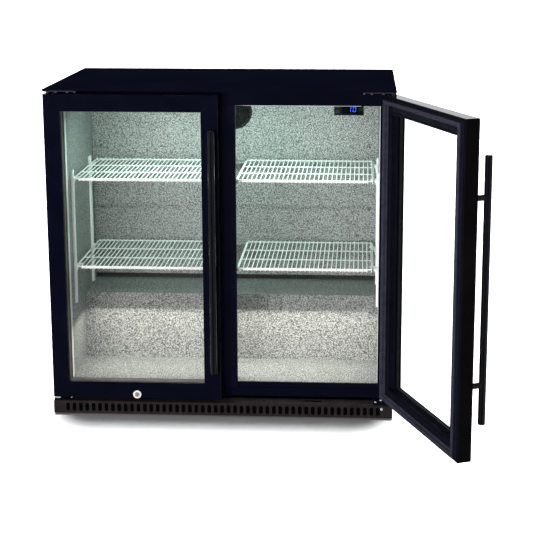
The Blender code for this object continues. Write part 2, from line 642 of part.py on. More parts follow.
def build_door(side, sx):
    """All pieces of one door, in its closed place."""
    x0, x1 = sorted((sx * DOOR_IN, sx * DOOR_OUT))
    z0, z1 = DOOR_Z0, DOOR_Z1
    lock = sx * LOCK_X
    lip_back = DOOR_Y0 + LIP_T
    names = []

    def ring(name, inset, width, ya, yb, finish, more=()):
        a = (x0 + inset, x1 - inset, z0 + inset, z1 - inset)
        names.append(name)
        return blocks(name, [(a[0], a[1], ya, yb, a[2], a[3])], finish,
                      cut=[ring_cut(*a, width), *more])

    frame = blocks(
        "door_frame_" + side,
        [(x0, x1, DOOR_Y0, DOOR_Y1, z0, z1)],
        "black_frame",
        cut=[
            ring_cut(x0, x1, z0, z1, LIP_W),
            (x0 + RAIL_W, x1 - RAIL_W, lip_back, 0.1, z0 + RAIL_W, z1 - RAIL_W),
            (lock - 0.0110, lock + 0.0340, -0.0235, -0.0155, 0.0, LOCK_Z + 0.0115),
        ],
    )
    soften(frame, 0.0010, lambda a, b: (
        abs(a.y - DOOR_Y0) < 1e-6 and abs(b.y - DOOR_Y0) < 1e-6
        and (min(abs(a.x - x0), abs(a.x - x1)) < 1e-6 and min(abs(b.x - x0), abs(b.x - x1)) < 1e-6
             or min(abs(a.z - z0), abs(a.z - z1)) < 1e-6
             and min(abs(b.z - z0), abs(b.z - z1)) < 1e-6)))
    for za, zb in ((z0 - 0.001, z0 + 0.0150), (z1 - 0.0150, z1 + 0.001)):
        hole = rod("hole", (sx * HINGE_X, HINGE_Y, 0), "Z", PIN_HOLE_R, za, zb, "black_frame", 20)
        combine(frame, hole, "DIFFERENCE")
    hole = rod("hole", (lock, 0, LOCK_Z), "Y", 0.0090, DOOR_Y0 - 0.002, -0.0210, "black_frame", 24)
    combine(frame, hole, "DIFFERENCE")
    names.append(frame.name)

    inset = RAIL_W + GAP
    y = lip_back + GAP
    names.append(blocks(
        "outer_pane_" + side,
        [(x0 + inset, x1 - inset, y, y + PANE_T, z0 + inset, z1 - inset)], "glass").name)
    y += PANE_T + GAP
    ring("pane_spacer_" + side, inset, 0.0090, y, y + SPACER_T, "liner")
    y += SPACER_T + GAP
    names.append(blocks(
        "inner_pane_" + side,
        [(x0 + inset, x1 - inset, y, y + PANE_T, z0 + inset, z1 - inset)], "glass").name)
    y += PANE_T + GAP
    ring("glazing_bead_" + side, inset, LIP_W - inset, y, DOOR_Y1, "black_plastic")

    a = (x0 + GASKET_INSET, x1 - GASKET_INSET, z0 + GASKET_INSET, z1 - GASKET_INSET)
    base_y = DOOR_Y1 + GAP
    names.append(blocks(
        "gasket_" + side,
        [(a[0], a[1], base_y, base_y + 0.0045, a[2], a[3]),
         (a[0] + 0.0010, a[1] - 0.0010, base_y + 0.0045, GASKET_BACK, a[2] + 0.0010,
          a[3] - 0.0010)],
        "gasket",
        cut=[
            ring_cut(*a, GASKET_W),
            (a[0] + 0.0120, a[1] - 0.0120, base_y + 0.0045, 0.1, a[2] + 0.0120, a[3] - 0.0120),
        ],
    ).name)

    hx = sx * HANDLE_X
    hy = DOOR_Y0 - HANDLE_OFF
    handle = rod("door_handle_" + side, (hx, hy, 0), "Z", HANDLE_R, HANDLE_Z0, HANDLE_Z1,
                 "black_frame", 24, 0.0010)
    for pz in POST_ZS:
        post = rod("post", (hx, 0, pz), "Y", POST_R, hy, DOOR_Y0 - GAP, "black_frame", 16)
        combine(handle, post, "UNION")
    handle.data.polygons.foreach_set("use_smooth", [True] * len(handle.data.polygons))
    handle.data.set_sharp_from_angle(angle=math.radians(35))
    names.append(handle.name)

    names.append(wheel(
        "lock_body_" + side, (lock, LOCK_Z), (0.0062, 0.0085), 24,
        DOOR_Y0 - 0.0014, CAM_Y0 - GAP - 0.0010, lambda r, s: True, "chrome").name)
    flange = wheel("flange", (lock, LOCK_Z), (0.0062, 0.0085, 0.0110), 24,
                   DOOR_Y0 - 0.0016, DOOR_Y0 - GAP, lambda r, s: True, "chrome")
    combine(PARTS["lock_body_" + side], flange, "UNION")

    cam = blocks(
        "lock_cam_" + side,
        [(lock - 0.0065, lock + CAM_LEN, CAM_Y0, CAM_Y1, LOCK_Z - 0.0050, LOCK_Z + 0.0050)],
        "chrome",
    )
    plug = rod("plug", (lock, 0, LOCK_Z), "Y", 0.0058, DOOR_Y0 - 0.0013, CAM_Y1 - 0.0010,
               "chrome", 24)
    combine(cam, plug, "UNION")
    return names, [cam.name]


def swing(name, angle, sx):
    centre = Matrix.Translation((sx * HINGE_X, HINGE_Y, 0))
    PARTS[name].data.transform(centre @ Matrix.Rotation(angle, 4, "Z") @ centre.inverted())


origins = {}
for side, sx in (("left", -1), ("right", 1)):
    panel, cams = build_door(side, sx)
    lock = Vector((sx * LOCK_X, DOOR_Y0, LOCK_Z))
    if side == "right":
        for name in panel + cams:
            swing(name, OPEN_ANGLE, sx)
        centre = Vector((sx * HINGE_X, HINGE_Y, 0))
        lock = centre + Matrix.Rotation(OPEN_ANGLE, 3, "Z") @ (lock - centre)
    for name in panel:
        origins[name] = Vector((sx * HINGE_X, HINGE_Y, (DOOR_Z0 + DOOR_Z1) / 2))
    for name in cams:
        origins[name] = lock

origins["evap_fan_blades"] = Vector((0, 0.3660, FAN_Z))
origins["condenser_fan_blades"] = Vector((0.1600, 0.3580, 0.1100))
for level, top_z in SHELF_TOPS.items():
    for side, sx in (("left", -1), ("right", 1)):
        origins[f"shelf_{level}_{side}"] = Vector(
            (sx * (SHELF_X0 + SHELF_X1) / 2, (SHELF_Y0 + SHELF_Y1) / 2, top_z - SHELF_T))
for name, (x0, x1, z0, z1) in KEYS.items():
    origins[name] = Vector(((x0 + x1) / 2, 0.0988, (z0 + z1) / 2))

# ---------------------------------------------------------------- place everything in the row frame
shift = Vector((ROW_X, ROW_Y, 0))
for name, ob in PARTS.items():
    pivot = origins.get(name, Vector((0, 0, 0)))
    ob.data.transform(Matrix.Translation(-pivot))
    ob.location = pivot + shift
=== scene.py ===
"""Looks of the undercounter back-bar refrigerator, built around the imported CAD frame."""
import json
from math import cos, pi, radians, sin

import bmesh
import bpy
from mathutils import Matrix, Vector

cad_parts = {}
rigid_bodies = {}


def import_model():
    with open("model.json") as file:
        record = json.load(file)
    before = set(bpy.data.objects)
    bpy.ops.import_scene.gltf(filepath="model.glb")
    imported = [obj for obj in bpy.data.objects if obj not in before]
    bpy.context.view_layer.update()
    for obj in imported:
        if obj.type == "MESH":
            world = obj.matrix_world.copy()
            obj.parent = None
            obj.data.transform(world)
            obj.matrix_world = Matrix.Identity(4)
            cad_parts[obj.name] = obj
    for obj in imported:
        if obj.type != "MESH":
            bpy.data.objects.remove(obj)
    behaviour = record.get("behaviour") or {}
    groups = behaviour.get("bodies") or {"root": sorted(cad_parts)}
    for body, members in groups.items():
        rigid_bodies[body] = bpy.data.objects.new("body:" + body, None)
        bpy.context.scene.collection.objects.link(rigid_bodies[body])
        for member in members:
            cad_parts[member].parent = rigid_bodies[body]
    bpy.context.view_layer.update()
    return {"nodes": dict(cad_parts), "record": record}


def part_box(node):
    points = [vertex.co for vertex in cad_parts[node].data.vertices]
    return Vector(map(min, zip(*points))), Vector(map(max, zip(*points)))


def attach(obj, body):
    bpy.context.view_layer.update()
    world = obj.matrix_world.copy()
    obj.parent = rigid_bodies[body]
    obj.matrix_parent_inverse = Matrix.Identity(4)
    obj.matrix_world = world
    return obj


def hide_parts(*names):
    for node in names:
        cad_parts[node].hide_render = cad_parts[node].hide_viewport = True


for old in list(bpy.data.objects):
    bpy.data.objects.remove(old, do_unlink=True)
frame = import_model()
NODES = frame["nodes"]

# ---------------------------------------------------------------- where things are
# The cabinet's own axes: X = 0 at its middle, Y = 0 on the face frame's front.
OX = (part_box("top_panel")[0].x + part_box("top_panel")[1].x) / 2
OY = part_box("face_frame")[0].y
CAB = Matrix.Translation((OX, OY, 0))
SIDES = (("left", -1), ("right", 1))
OPEN = radians(112.5)                     # how far the right door is stored open
HINGE_X, HINGE_Y = 0.44, -0.029
HINGE = Vector((OX + HINGE_X, OY + HINGE_Y, 0.0))


def P(x, y, z):
    """A point given in the cabinet's own axes."""
    return Vector((OX + x, OY + y, z))


def door_place(side):
    """The map from a closed door, written in cabinet coordinates, to where that door is stored."""
    if side == "left":
        return CAB
    turn = Matrix.Translation(HINGE) @ Matrix.Rotation(OPEN, 4, "Z") @ Matrix.Translation(-HINGE)
    return turn @ CAB


# ---------------------------------------------------------------- materials
M = {}


class Nodes:
    """Adds nodes to a tree and hands back their outputs."""

    def __init__(self, tree, coord):
        self.tree = tree
        self.coord = tree.nodes.new("ShaderNodeTexCoord").outputs[coord]

    def link(self, a, b):
        self.tree.links.new(a, b)

    def add(self, kind, inputs=None, **settings):
        """A node with its settings; each input takes a number, a colour or another output."""
        node = self.tree.nodes.new("ShaderNode" + kind)
        for name, value in settings.items():
            setattr(node, name, value)
        for name, value in (inputs or {}).items():
            if isinstance(value, bpy.types.NodeSocket):
                self.link(value, node.inputs[name])
            else:
                node.inputs[name].default_value = value
        return node

    def noise(self, scale, detail=3.0, rough=0.5, vector=None):
        return self.add("TexNoise", {"Scale": scale, "Detail": detail, "Roughness": rough,
                                     "Vector": vector or self.coord}).outputs["Fac"]

    def ramp(self, value, stops):
        node = self.add("ValToRGB", {"Fac": value})
        ramp = node.color_ramp
        while len(ramp.elements) < len(stops):
            ramp.elements.new(0.5)
        for element, (at, colour) in zip(ramp.elements, stops):
            element.position = at
            element.color = (*colour, 1.0)
        return node.outputs["Color"]

    def spread(self, value, low, high, a=0.0, b=1.0):
        """Maps a to b onto low to high."""
        return self.add("MapRange", {"Value": value, "From Min": a, "From Max": b,
                                     "To Min": low, "To Max": high}).outputs["Result"]

    def math(self, kind, a, b, node="Math"):
        """Arithmetic on two outputs or numbers; node="VectorMath" works on colours."""
        return self.add(node, {0: a, 1: b}, operation=kind).outputs[0]


class Paint(Nodes):
    """A node material that is filled in step by step and kept in M."""

    def __init__(self, name, rough=0.4, metal=0.0, specular=0.5, key=None):
        self.mat = M[key or name] = bpy.data.materials.new(name)
        self.mat.use_nodes = True
        super().__init__(self.mat.node_tree, "Object")
        self.shader = self.tree.nodes["Principled BSDF"]
        self.set("Roughness", rough)
        self.set("Metallic", metal)
        self.set("Specular IOR Level", specular)

    def set(self, socket, value):
        """A value that is the same all over the surface."""
        self.shader.inputs[socket].default_value = value

    def stretched(self, scale):
        return self.add("Mapping", {"Scale": scale, "Vector": self.coord}).outputs["Vector"]

    def cells(self, scale, feature="F1", **inputs):
        inputs.update(Scale=scale, Vector=self.coord)
        return self.add("TexVoronoi", inputs, feature=feature).outputs

    def colour(self, value, stops):
        self.link(self.ramp(value, stops), self.shader.inputs["Base Color"])

    def roughness(self, value, *limits):
        self.link(self.spread(value, *limits), self.shader.inputs["Roughness"])

    def bump(self, height, strength, distance):
        node = self.add("Bump", {"Strength": strength, "Distance": distance, "Height": height})
        self.link(node.outputs["Normal"], self.shader.inputs["Normal"])


def varied(name, dark, light, rough, metal=0.0, specular=0.5, scale=40.0, spread=0.05,
           bump_scale=900.0, bump=0.08, depth=0.0002, key=None):
    """Colour that drifts a little, with uneven gloss and a fine surface grain."""
    p = Paint(name, rough, metal, specular, key)
    p.colour(p.noise(scale, 4.0, 0.55), [(0.35, dark), (0.68, light)])
    p.roughness(p.noise(scale * 2.3, 3.0), rough - spread, rough + spread, 0.3, 0.7)
    p.bump(p.noise(bump_scale, 2.0), bump, depth)


varied("black_sheet", (0.002, 0.0026, 0.0074), (0.0029, 0.0036, 0.0096), 0.42, specular=0.08,
       scale=9.0, spread=0.06, bump_scale=1400.0, bump=0.1)
varied("black_frame", (0.002, 0.0026, 0.0076), (0.003, 0.0037, 0.01), 0.12, specular=0.5,
       scale=14.0, spread=0.03, bump_scale=700.0, bump=0.02)
# a lighter copy of the sheet black for the mullion's front: painted light
varied("mullion_painted_light", (0.003, 0.0037, 0.0104), (0.0042, 0.005, 0.0134), 0.42, specular=0.1,
       scale=9.0, spread=0.06, bump_scale=1400.0, bump=0.1)
# a darker, browner copy of the frame black for the doors' upright outer edges: painted shade
varied("black_edge", (0.0018, 0.0014, 0.0018), (0.003, 0.0023, 0.0028), 0.3, specular=0.06,
       scale=14.0, spread=0.03, bump_scale=700.0, bump=0.02)
varied("black_inner", (0.0024, 0.0029, 0.0066), (0.0038, 0.0044, 0.0094), 0.5, specular=0.08,
       scale=14.0, bump_scale=900.0, bump=0.05)
varied("black_top", (0.0024, 0.0029, 0.0074), (0.0032, 0.0038, 0.0098), 0.6, specular=0.0,
       scale=5.0, spread=0.05, bump_scale=1600.0, bump=0.12)
varied("side_sheet", (0.0024, 0.003, 0.008), (0.0034, 0.0042, 0.0108), 0.38, specular=0.42,
       scale=9.0, spread=0.06, bump_scale=1400.0, bump=0.1)
varied("black_gloss", (0.002, 0.0022, 0.004), (0.0036, 0.0036, 0.0052), 0.16, specular=0.45,
       scale=22.0, spread=0.04, bump_scale=500.0, bump=0.02)
varied("black_plastic", (0.003, 0.0034, 0.004), (0.0056, 0.006, 0.007), 0.48, specular=0.15,
       scale=60.0, bump_scale=2400.0, bump=0.16)
varied("grey_plastic", (0.01, 0.011, 0.011), (0.017, 0.019, 0.019), 0.5, specular=0.35,
       scale=60.0, bump_scale=2400.0, bump=0.16)
varied("grille", (0.015, 0.0112, 0.0132), (0.023, 0.0178, 0.0205), 0.5, specular=0.12,
       scale=30.0, spread=0.07, bump_scale=1800.0, bump=0.18)
varied("white_coat", (0.86, 0.88, 0.87), (0.94, 0.95, 0.945), 0.34, specular=0.5, scale=120.0,
       bump_scale=1500.0, bump=0.06)
varied("foam", (0.62, 0.54, 0.34), (0.8, 0.72, 0.5), 0.9, specular=0.2, scale=60.0,
       bump_scale=700.0, bump=0.6, depth=0.0006)
varied("chrome", (0.62, 0.63, 0.65), (0.74, 0.75, 0.77), 0.12, metal=1.0, scale=300.0,
       spread=0.03, bump_scale=2500.0, bump=0.02)
# near-black sheet for behind the kick grille's slots: painted shade that keeps the slots dark,
# with a fine grain
p = Paint("slot_shade_sheet", 0.75, 0.0, 0.02)
shade_grain = p.cells(900.0)["Distance"]
p.colour(shade_grain, [(0.3, (0.0006, 0.0006, 0.0007)), (0.7, (0.0022, 0.0021, 0.0024))])
p.bump(shade_grain, 0.3, 0.0002)
varied("brass", (0.46, 0.37, 0.29), (0.62, 0.5, 0.4), 0.34, metal=0.5, scale=400.0,
       bump_scale=3000.0, bump=0.05)
varied("copper", (0.5, 0.21, 0.11), (0.72, 0.34, 0.2), 0.3, metal=1.0, scale=90.0, spread=0.09,
       bump_scale=1500.0, bump=0.05)
# near-white, mostly diffuse zinc for washers, screws and the lock collar: its own bright plating
# plus painted highlight standing in for the metal's reflections
varied("zinc_bright", (0.8, 0.81, 0.82), (0.92, 0.93, 0.94), 0.34, metal=0.15, scale=200.0,
       bump_scale=1800.0, bump=0.06)
# a dim copy of the zinc for the screws under the top panel: painted shade
varied("zinc_dim", (0.1, 0.12, 0.15), (0.17, 0.19, 0.22), 0.34, metal=0.4, scale=200.0,
       bump_scale=1800.0, bump=0.06)
varied("hinge_grey", (0.03, 0.032, 0.038), (0.05, 0.052, 0.06), 0.36, metal=0.4, scale=120.0,
       bump_scale=1800.0, bump=0.06)
varied("rubber_foot", (0.01, 0.01, 0.011), (0.018, 0.018, 0.019), 0.7, specular=0.3,
       scale=150.0, bump_scale=2000.0, bump=0.2)
# near-black for the screws' cross recesses: painted shade
varied("dark_recess", (0.001, 0.001, 0.0012), (0.002, 0.002, 0.0022), 0.7, specular=0.1,
       scale=200.0)

# zinc-coated sheet: crystal spangle in colour and gloss
p = Paint("zinc_sheet", 0.4, 0.85)
spangle = p.add("SeparateColor", {"Color": p.cells(95.0)["Color"]}).outputs
p.colour(spangle["Red"], [(0.0, (0.4, 0.42, 0.44)), (1.0, (0.6, 0.62, 0.64))])
p.roughness(spangle["Green"], 0.28, 0.5)
p.bump(p.noise(1200.0, 2.0), 0.08, 0.0002)

# embossed aluminium: pebbles a few millimetres across, with random speckle; lighter on the
# pebbles' tops and darker in the hollows between them, as painted highlight and painted shade
p = Paint("stucco_aluminium", 0.46, 0.3, 0.4, "stucco")
pebble = p.cells(330.0, "SMOOTH_F1", Smoothness=0.45)["Distance"]
speck = p.noise(520.0, 2.0, 0.6)
relief_and_painted_shade = p.math("ADD", p.math("MULTIPLY", pebble, 0.42), p.math("MULTIPLY", speck, 0.88))
p.colour(relief_and_painted_shade, [(0.47, (0.6, 0.615, 0.605)), (0.6, (0.35, 0.36, 0.355)),
                 (0.74, (0.1, 0.105, 0.105))])
p.roughness(relief_and_painted_shade, 0.38, 0.58, 0.4, 0.8)
p.bump(relief_and_painted_shade, 0.6, 0.0008)

p = Paint("plain_aluminium", 0.34, 0.9)
p.colour(p.noise(1.0, 4.0, 0.6, p.stretched((900.0, 900.0, 12.0))),
         [(0.3, (0.42, 0.44, 0.45)), (0.7, (0.64, 0.66, 0.67))])
p.bump(p.noise(1.0, 2.0, 0.5, p.stretched((1500.0, 1500.0, 30.0))), 0.05, 0.0001)

# magnetic seal: soft blue-grey, a little dusty, darker where it is shaded
p = Paint("gasket", 0.62, 0.0, 0.35)
p.colour(p.noise(70.0, 4.0), [(0.3, (0.019, 0.0205, 0.036)), (0.7, (0.033, 0.035, 0.056))])
p.roughness(p.noise(160.0, 3.0), 0.48, 0.72, 0.3, 0.7)
p.bump(p.noise(900.0, 2.0), 0.12, 0.0003)
p = Paint("gasket_dark", 0.6, 0.0, 0.35)
p.colour(p.noise(70.0, 4.0), [(0.3, (0.0045, 0.0052, 0.012)), (0.7, (0.008, 0.0088, 0.018))])
p.bump(p.noise(900.0, 2.0), 0.12, 0.0003)

# panes: nearly clear, with a faint green tint; the sealed unit's bars and beads follow: the left
# door's spacer and bead are a lit brown-grey that is painted light, the right door's spacer is
# darkened as painted shade and its bead is plain black
p = Paint("pane_glass", 0.03, key="pane")
p.colour(p.noise(3.0, 2.0), [(0.3, (0.03, 0.05, 0.044)), (0.7, (0.0312, 0.052, 0.04576))])
p.roughness(p.noise(25.0, 3.0), 0.015, 0.05, 0.3, 0.7)
p.set("Alpha", 0.02)
p.mat.surface_render_method = "DITHERED"
varied("spacer_painted_light", (0.1, 0.088, 0.086), (0.145, 0.128, 0.125), 0.34, metal=0.4, scale=80.0,
       bump_scale=1500.0, bump=0.05, key="spacer_left")
varied("spacer_painted_shade", (0.007, 0.0085, 0.0115), (0.0125, 0.015, 0.019), 0.4, metal=0.2,
       specular=0.2, scale=80.0, bump_scale=1500.0, bump=0.05, key="spacer_right")
varied("bead_black", (0.003, 0.0034, 0.0078), (0.0048, 0.0054, 0.0112), 0.5, specular=0.02,
       scale=60.0, bump_scale=1800.0, bump=0.05, key="bead_right")
varied("bead_bronze", (0.12, 0.094, 0.096), (0.165, 0.13, 0.132), 0.4, specular=0.3,
       scale=60.0, bump_scale=1800.0, bump=0.05, key="bead_left")

p = Paint("display_window", 0.1)
p.colour(p.noise(200.0, 2.0), [(0.3, (0.0012, 0.0016, 0.0022)), (0.7, (0.0024, 0.003, 0.0038))])
p.bump(p.noise(600.0, 2.0), 0.01, 0.0001)


def lit(name, colour, glow, power):
    """A surface that gives off light."""
    p = Paint(name, specular=0.4)
    p.colour(p.noise(300.0, 2.0), [(0.3, colour), (0.7, [c * 0.9 for c in colour])])
    p.set("Emission Color", (*glow, 1.0))
    p.set("Emission Strength", power)


lit("digit_glow", (0.01, 0.04, 0.5), (0.015, 0.095, 0.85), 1.25)
lit("led_glow", (0.8, 0.86, 0.82), (0.86, 1.0, 0.93), 2.6)


# ---------------------------------------------------------------- mesh helpers
def put(name, data):
    """A new object in the scene."""
    ob = bpy.data.objects.new(name, data)
    bpy.context.scene.collection.objects.link(ob)
    return ob


def smooth_below(ob, angle):
    """Smooth shading, with edges left sharp above an angle in degrees."""
    ob.data.polygons.foreach_set("use_smooth", [True] * len(ob.data.polygons))
    ob.data.set_sharp_from_angle(angle=radians(angle))


def finish_piece(name, bm, materials, replaced=(), smooth=40.0, body="cabinet", place=CAB):
    """Turns bmesh work into one named piece that rides on a body."""
    mesh = bpy.data.meshes.new(name)
    bmesh.ops.remove_doubles(bm, verts=bm.verts[:], dist=1e-7)
    bmesh.ops.recalc_face_normals(bm, faces=bm.faces[:])
    bm.to_mesh(mesh)
    bm.free()
    if place is not None:
        mesh.transform(place)
    for m in materials.split():
        mesh.materials.append(M[m])
    ob = put(name, mesh)
    if smooth:
        smooth_below(ob, smooth)
    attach(ob, body)
    if replaced:
        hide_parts(*replaced)
    return ob


def apply_modifiers(ob):
    graph = bpy.context.evaluated_depsgraph_get()
    mesh = bpy.data.meshes.new_from_object(ob.evaluated_get(graph))
    ob.modifiers.clear()
    old, ob.data = ob.data, mesh
    name = old.name
    bpy.data.meshes.remove(old)
    mesh.name = name


def flat_shading(ob, angle=42.0):
    """Large faces shade flat and the rounded edges take the bend."""
    smooth_below(ob, angle)
    mod = ob.modifiers.new("weights", "WEIGHTED_NORMAL")
    mod.mode = "FACE_AREA"
    mod.weight = 100
    mod.keep_sharp = True
    apply_modifiers(ob)


def round_edges(ob, width, segments):
    mod = ob.modifiers.new("round", "BEVEL")
    mod.width = width
    mod.segments = segments
    mod.limit_method = "ANGLE"
    mod.angle_limit = radians(32.0)
    mod.miter_outer = "MITER_ARC"
    mod.use_clamp_overlap = True
    apply_modifiers(ob)
    flat_shading(ob)


def node_bmesh(name):
    """A copy of a CAD node's surface, with its triangles joined back into flat faces."""
    bm = bmesh.new()
    bm.from_mesh(NODES[name].data)
    bmesh.ops.remove_doubles(bm, verts=bm.verts[:], dist=1e-6)
    bmesh.ops.dissolve_limit(bm, angle_limit=0.01, verts=bm.verts[:], edges=bm.edges[:])
    return bm


def refine(name, material, width, segments, new_name):
    """A copy of a CAD node with rounded edges that stands for it."""
    body = next(b for b, members in frame["record"]["behaviour"]["bodies"].items()
                if name in members)
    ob = finish_piece(new_name, node_bmesh(name), material, (name,), None, body, None)
    round_edges(ob, width, segments)
    return ob


def box_into(bm, x0, x1, y0, y1, z0, z1):
    """A sharp box, added to bm."""
    vs = [bm.verts.new(v) for v in (
        (x0, y0, z0), (x1, y0, z0), (x1, y1, z0), (x0, y1, z0),
        (x0, y0, z1), (x1, y0, z1), (x1, y1, z1), (x0, y1, z1))]
    for f in ((0, 3, 2, 1), (4, 5, 6, 7), (0, 1, 5, 4), (1, 2, 6, 5), (2, 3, 7, 6), (3, 0, 4, 7)):
        bm.faces.new([vs[i] for i in f])


def rounded_box(bm, x0, x1, y0, y1, z0, z1, r, segments=2):
    """A box with rounded edges, added to bm."""
    part = bmesh.new()
    box_into(part, x0, x1, y0, y1, z0, z1)
    bmesh.ops.bevel(part, geom=part.edges[:], offset=r, segments=segments, profile=0.5,
                    affect="EDGES", clamp_overlap=True)
    merge(bm, part)


def merge(bm, part, matrix=None):
    """Moves bmesh work into bm and frees it."""
    mesh = bpy.data.meshes.new("tmp")
    part.to_mesh(mesh)
    part.free()
    if matrix is not None:
        mesh.transform(matrix)
    bm.from_mesh(mesh)
    bpy.data.meshes.remove(mesh)


AXES = {
    # turns a lathe's own Z onto this axis
    "Y": Matrix(((1, 0, 0), (0, 0, 1), (0, -1, 0))),
    "Z": Matrix.Identity(3),
}


def bridge(bm, low, high):
    """Joins two rings of points with faces; a ring of one point closes the end."""
    count = max(len(low), len(high))
    for s in range(count):
        t = (s + 1) % count
        if len(low) == 1:
            bm.faces.new((low[0], high[t], high[s]))
        elif len(high) == 1:
            bm.faces.new((low[s], low[t], high[0]))
        else:
            bm.faces.new((low[s], low[t], high[t], high[s]))


def lathe(bm, profile, count=48, axis="Z", at=(0, 0, 0), closed=False):
    """A solid of revolution from (radius, height) pairs. Both ends lie on the axis, or the
    profile is a closed loop clear of it."""
    at = Vector(at)
    rings = [[bm.verts.new(at + AXES[axis] @ Vector((
        radius * cos(2 * pi * s / count), radius * sin(2 * pi * s / count), height)))
        for s in range(count if radius else 1)] for radius, height in profile]
    for low, high in zip(rings, rings[1:] + rings[:closed]):
        if len(low) > 1 or len(high) > 1:
            bridge(bm, low, high)


def tube(bm, points, radius, sides=10, closed=False):
    """A round wire along a path of points, with flat ends."""
    pts = [Vector(q) for q in points]
    n = len(pts)
    rings = []
    up = None
    for i, q in enumerate(pts):
        if closed:
            d = (pts[(i + 1) % n] - pts[i - 1]).normalized()
        elif i == 0:
            d = (pts[1] - q).normalized()
        elif i == n - 1:
            d = (q - pts[-2]).normalized()
        else:
            d = ((pts[i + 1] - q).normalized() + (q - pts[i - 1]).normalized()).normalized()
        if up is None:
            up = Vector((0, 0, 1)) if abs(d.z) < 0.9 else Vector((1, 0, 0))
        up = (up - d * up.dot(d)).normalized()
        side = d.cross(up)
        rings.append([bm.verts.new(q + radius * (cos(2 * pi * s / sides) * up
                                                 + sin(2 * pi * s / sides) * side))
                      for s in range(sides)])
    for low, high in zip(rings, rings[1:] + rings[:closed]):
        bridge(bm, low, high)
    if not closed:
        bm.faces.new(rings[0][::-1])
        bm.faces.new(rings[-1])


def prism(bm, outline, y0, y1, plane="XZ"):
    """A flat outline in a plane pushed along the third axis into a closed solid."""
    low, high = ([bm.verts.new((u, w, v) if plane == "XZ" else (w, u, v)) for u, v in outline]
                 for w in (y0, y1))
    bridge(bm, low, high)
    bm.faces.new(low[::-1])
    bm.faces.new(high)


def bend(cx, cy, r, a0, sweep, steps):
    """Points of an arc; angles in degrees."""
    return [(cx + r * cos(radians(a0 + sweep * k / steps)),
             cy + r * sin(radians(a0 + sweep * k / steps))) for k in range(steps + 1)]


def slot_outline(cx, cy, w, h, steps=6):
    """A slot with round ends, along the second axis if h > w, else along the first."""
    r = min(w, h) / 2
    if h >= w:
        ends = ((cx, cy - (h / 2 - r), 180), (cx, cy + (h / 2 - r), 0))
    else:
        ends = ((cx + (w / 2 - r), cy, -90), (cx - (w / 2 - r), cy, 90))
    return [q for x, y, a0 in ends for q in bend(x, y, r, a0, 180, steps)]


def ring_outline(cx, cy, r, steps):
    """A full circle."""
    return [(cx + r * cos(2 * pi * k / steps), cy + r * sin(2 * pi * k / steps))
            for k in range(steps)]


def rect_outline(x0, x1, y0, y1, r=0.0, steps=3):
    """A rectangle, with corners of radius r."""
    if r <= 0:
        return [(x0, y0), (x1, y0), (x1, y1), (x0, y1)]
    corners = ((x1 - r, y0 + r, -90), (x1 - r, y1 - r, 0), (x0 + r, y1 - r, 90),
               (x0 + r, y0 + r, 180))
    return [q for x, y, a0 in corners for q in bend(x, y, r, a0, 90, steps)]


FACING = {
    # outline's two axes and the thickness -> world
    "XZ": Matrix(((1, 0, 0, 0), (0, 0, 1, 0), (0, 1, 0, 0), (0, 0, 0, 1))),
    "XY": Matrix.Identity(4),
    "YZ": Matrix(((0, 0, 1, 0), (1, 0, 0, 0), (0, 1, 0, 0), (0, 0, 0, 1))),
}


def cut_sheet(bm, outlines, w0, w1, plane="XZ", rim=0.0002):
    """A flat sheet with holes and softened edges, between w0 and w1 on the plane's third axis.
    The first outline is the outside, the others are holes."""
    curve = bpy.data.curves.new("sheet", "CURVE")
    curve.dimensions = "2D"
    curve.fill_mode = "BOTH"
    for outline in outlines:
        spline = curve.splines.new("POLY")
        spline.points.add(len(outline) - 1)
        for point, (u, v) in zip(spline.points, outline):
            point.co = (u, v, 0.0, 1.0)
        spline.use_cyclic_u = True
    rim = min(rim, (w1 - w0) * 0.45)
    curve.bevel_depth = rim
    curve.bevel_resolution = 0
    curve.extrude = (w1 - w0) / 2 - rim
    curve.offset = -rim
    ob = put("sheet", curve)
    graph = bpy.context.evaluated_depsgraph_get()
    mesh = bpy.data.meshes.new_from_object(ob.evaluated_get(graph))
    part = bmesh.new()
    part.from_mesh(mesh)
    bmesh.ops.remove_doubles(part, verts=part.verts[:], dist=1e-6)
    bmesh.ops.recalc_face_normals(part, faces=part.faces[:])
    merge(bm, part, FACING[plane] @ Matrix.Translation((0, 0, (w0 + w1) / 2)))
    bpy.data.objects.remove(ob, do_unlink=True)
    bpy.data.curves.remove(curve)
    bpy.data.meshes.remove(mesh)


def screw_head(bm, at, normal, r=0.0036, height=0.0016, slot=True):
    """A pan-head screw with a cross recess, drawn as two near-black bars on the head: painted
    shade.
    """
    part = bmesh.new()
    lathe(part, [(0, 0), (r, 0), (r, height * 0.35), (r * 0.86, height * 0.78), (r * 0.5, height),
                 (0, height)], 20)
    if slot:
        for turn in (0, 90):
            bar = bmesh.new()
            box_into(bar, -r * 0.62, r * 0.62, -r * 0.1, r * 0.1, height * 0.96, height * 1.06)
            for f in bar.faces:
                f.material_index = 1
            merge(part, bar, Matrix.Rotation(radians(turn + 20), 4, "Z"))
    rot = Vector((0, 0, 1)).rotation_difference(Vector(normal)).to_matrix().to_4x4()
    merge(bm, part, Matrix.Translation(Vector(at)) @ rot)


def combine(ob, shapes, place, operation="UNION"):
    """Applies exact Booleans with closed shapes, each given as bmesh work."""
    for bm in shapes:
        bmesh.ops.transform(bm, matrix=place, verts=bm.verts[:])
        bmesh.ops.recalc_face_normals(bm, faces=bm.faces[:])
        mesh = bpy.data.meshes.new("tool")
        bm.to_mesh(mesh)
        bm.free()
        tool = put("tool", mesh)
        mod = ob.modifiers.new("join", "BOOLEAN")
        mod.object = tool
        mod.operation = operation
        mod.solver = "EXACT"
        apply_modifiers(ob)
        bpy.data.objects.remove(tool, do_unlink=True)


def dress(name, material):
    """A CAD node that keeps its shape takes a better material."""
    mesh = NODES[name].data
    mesh.materials.clear()
    mesh.materials.append(M[material])


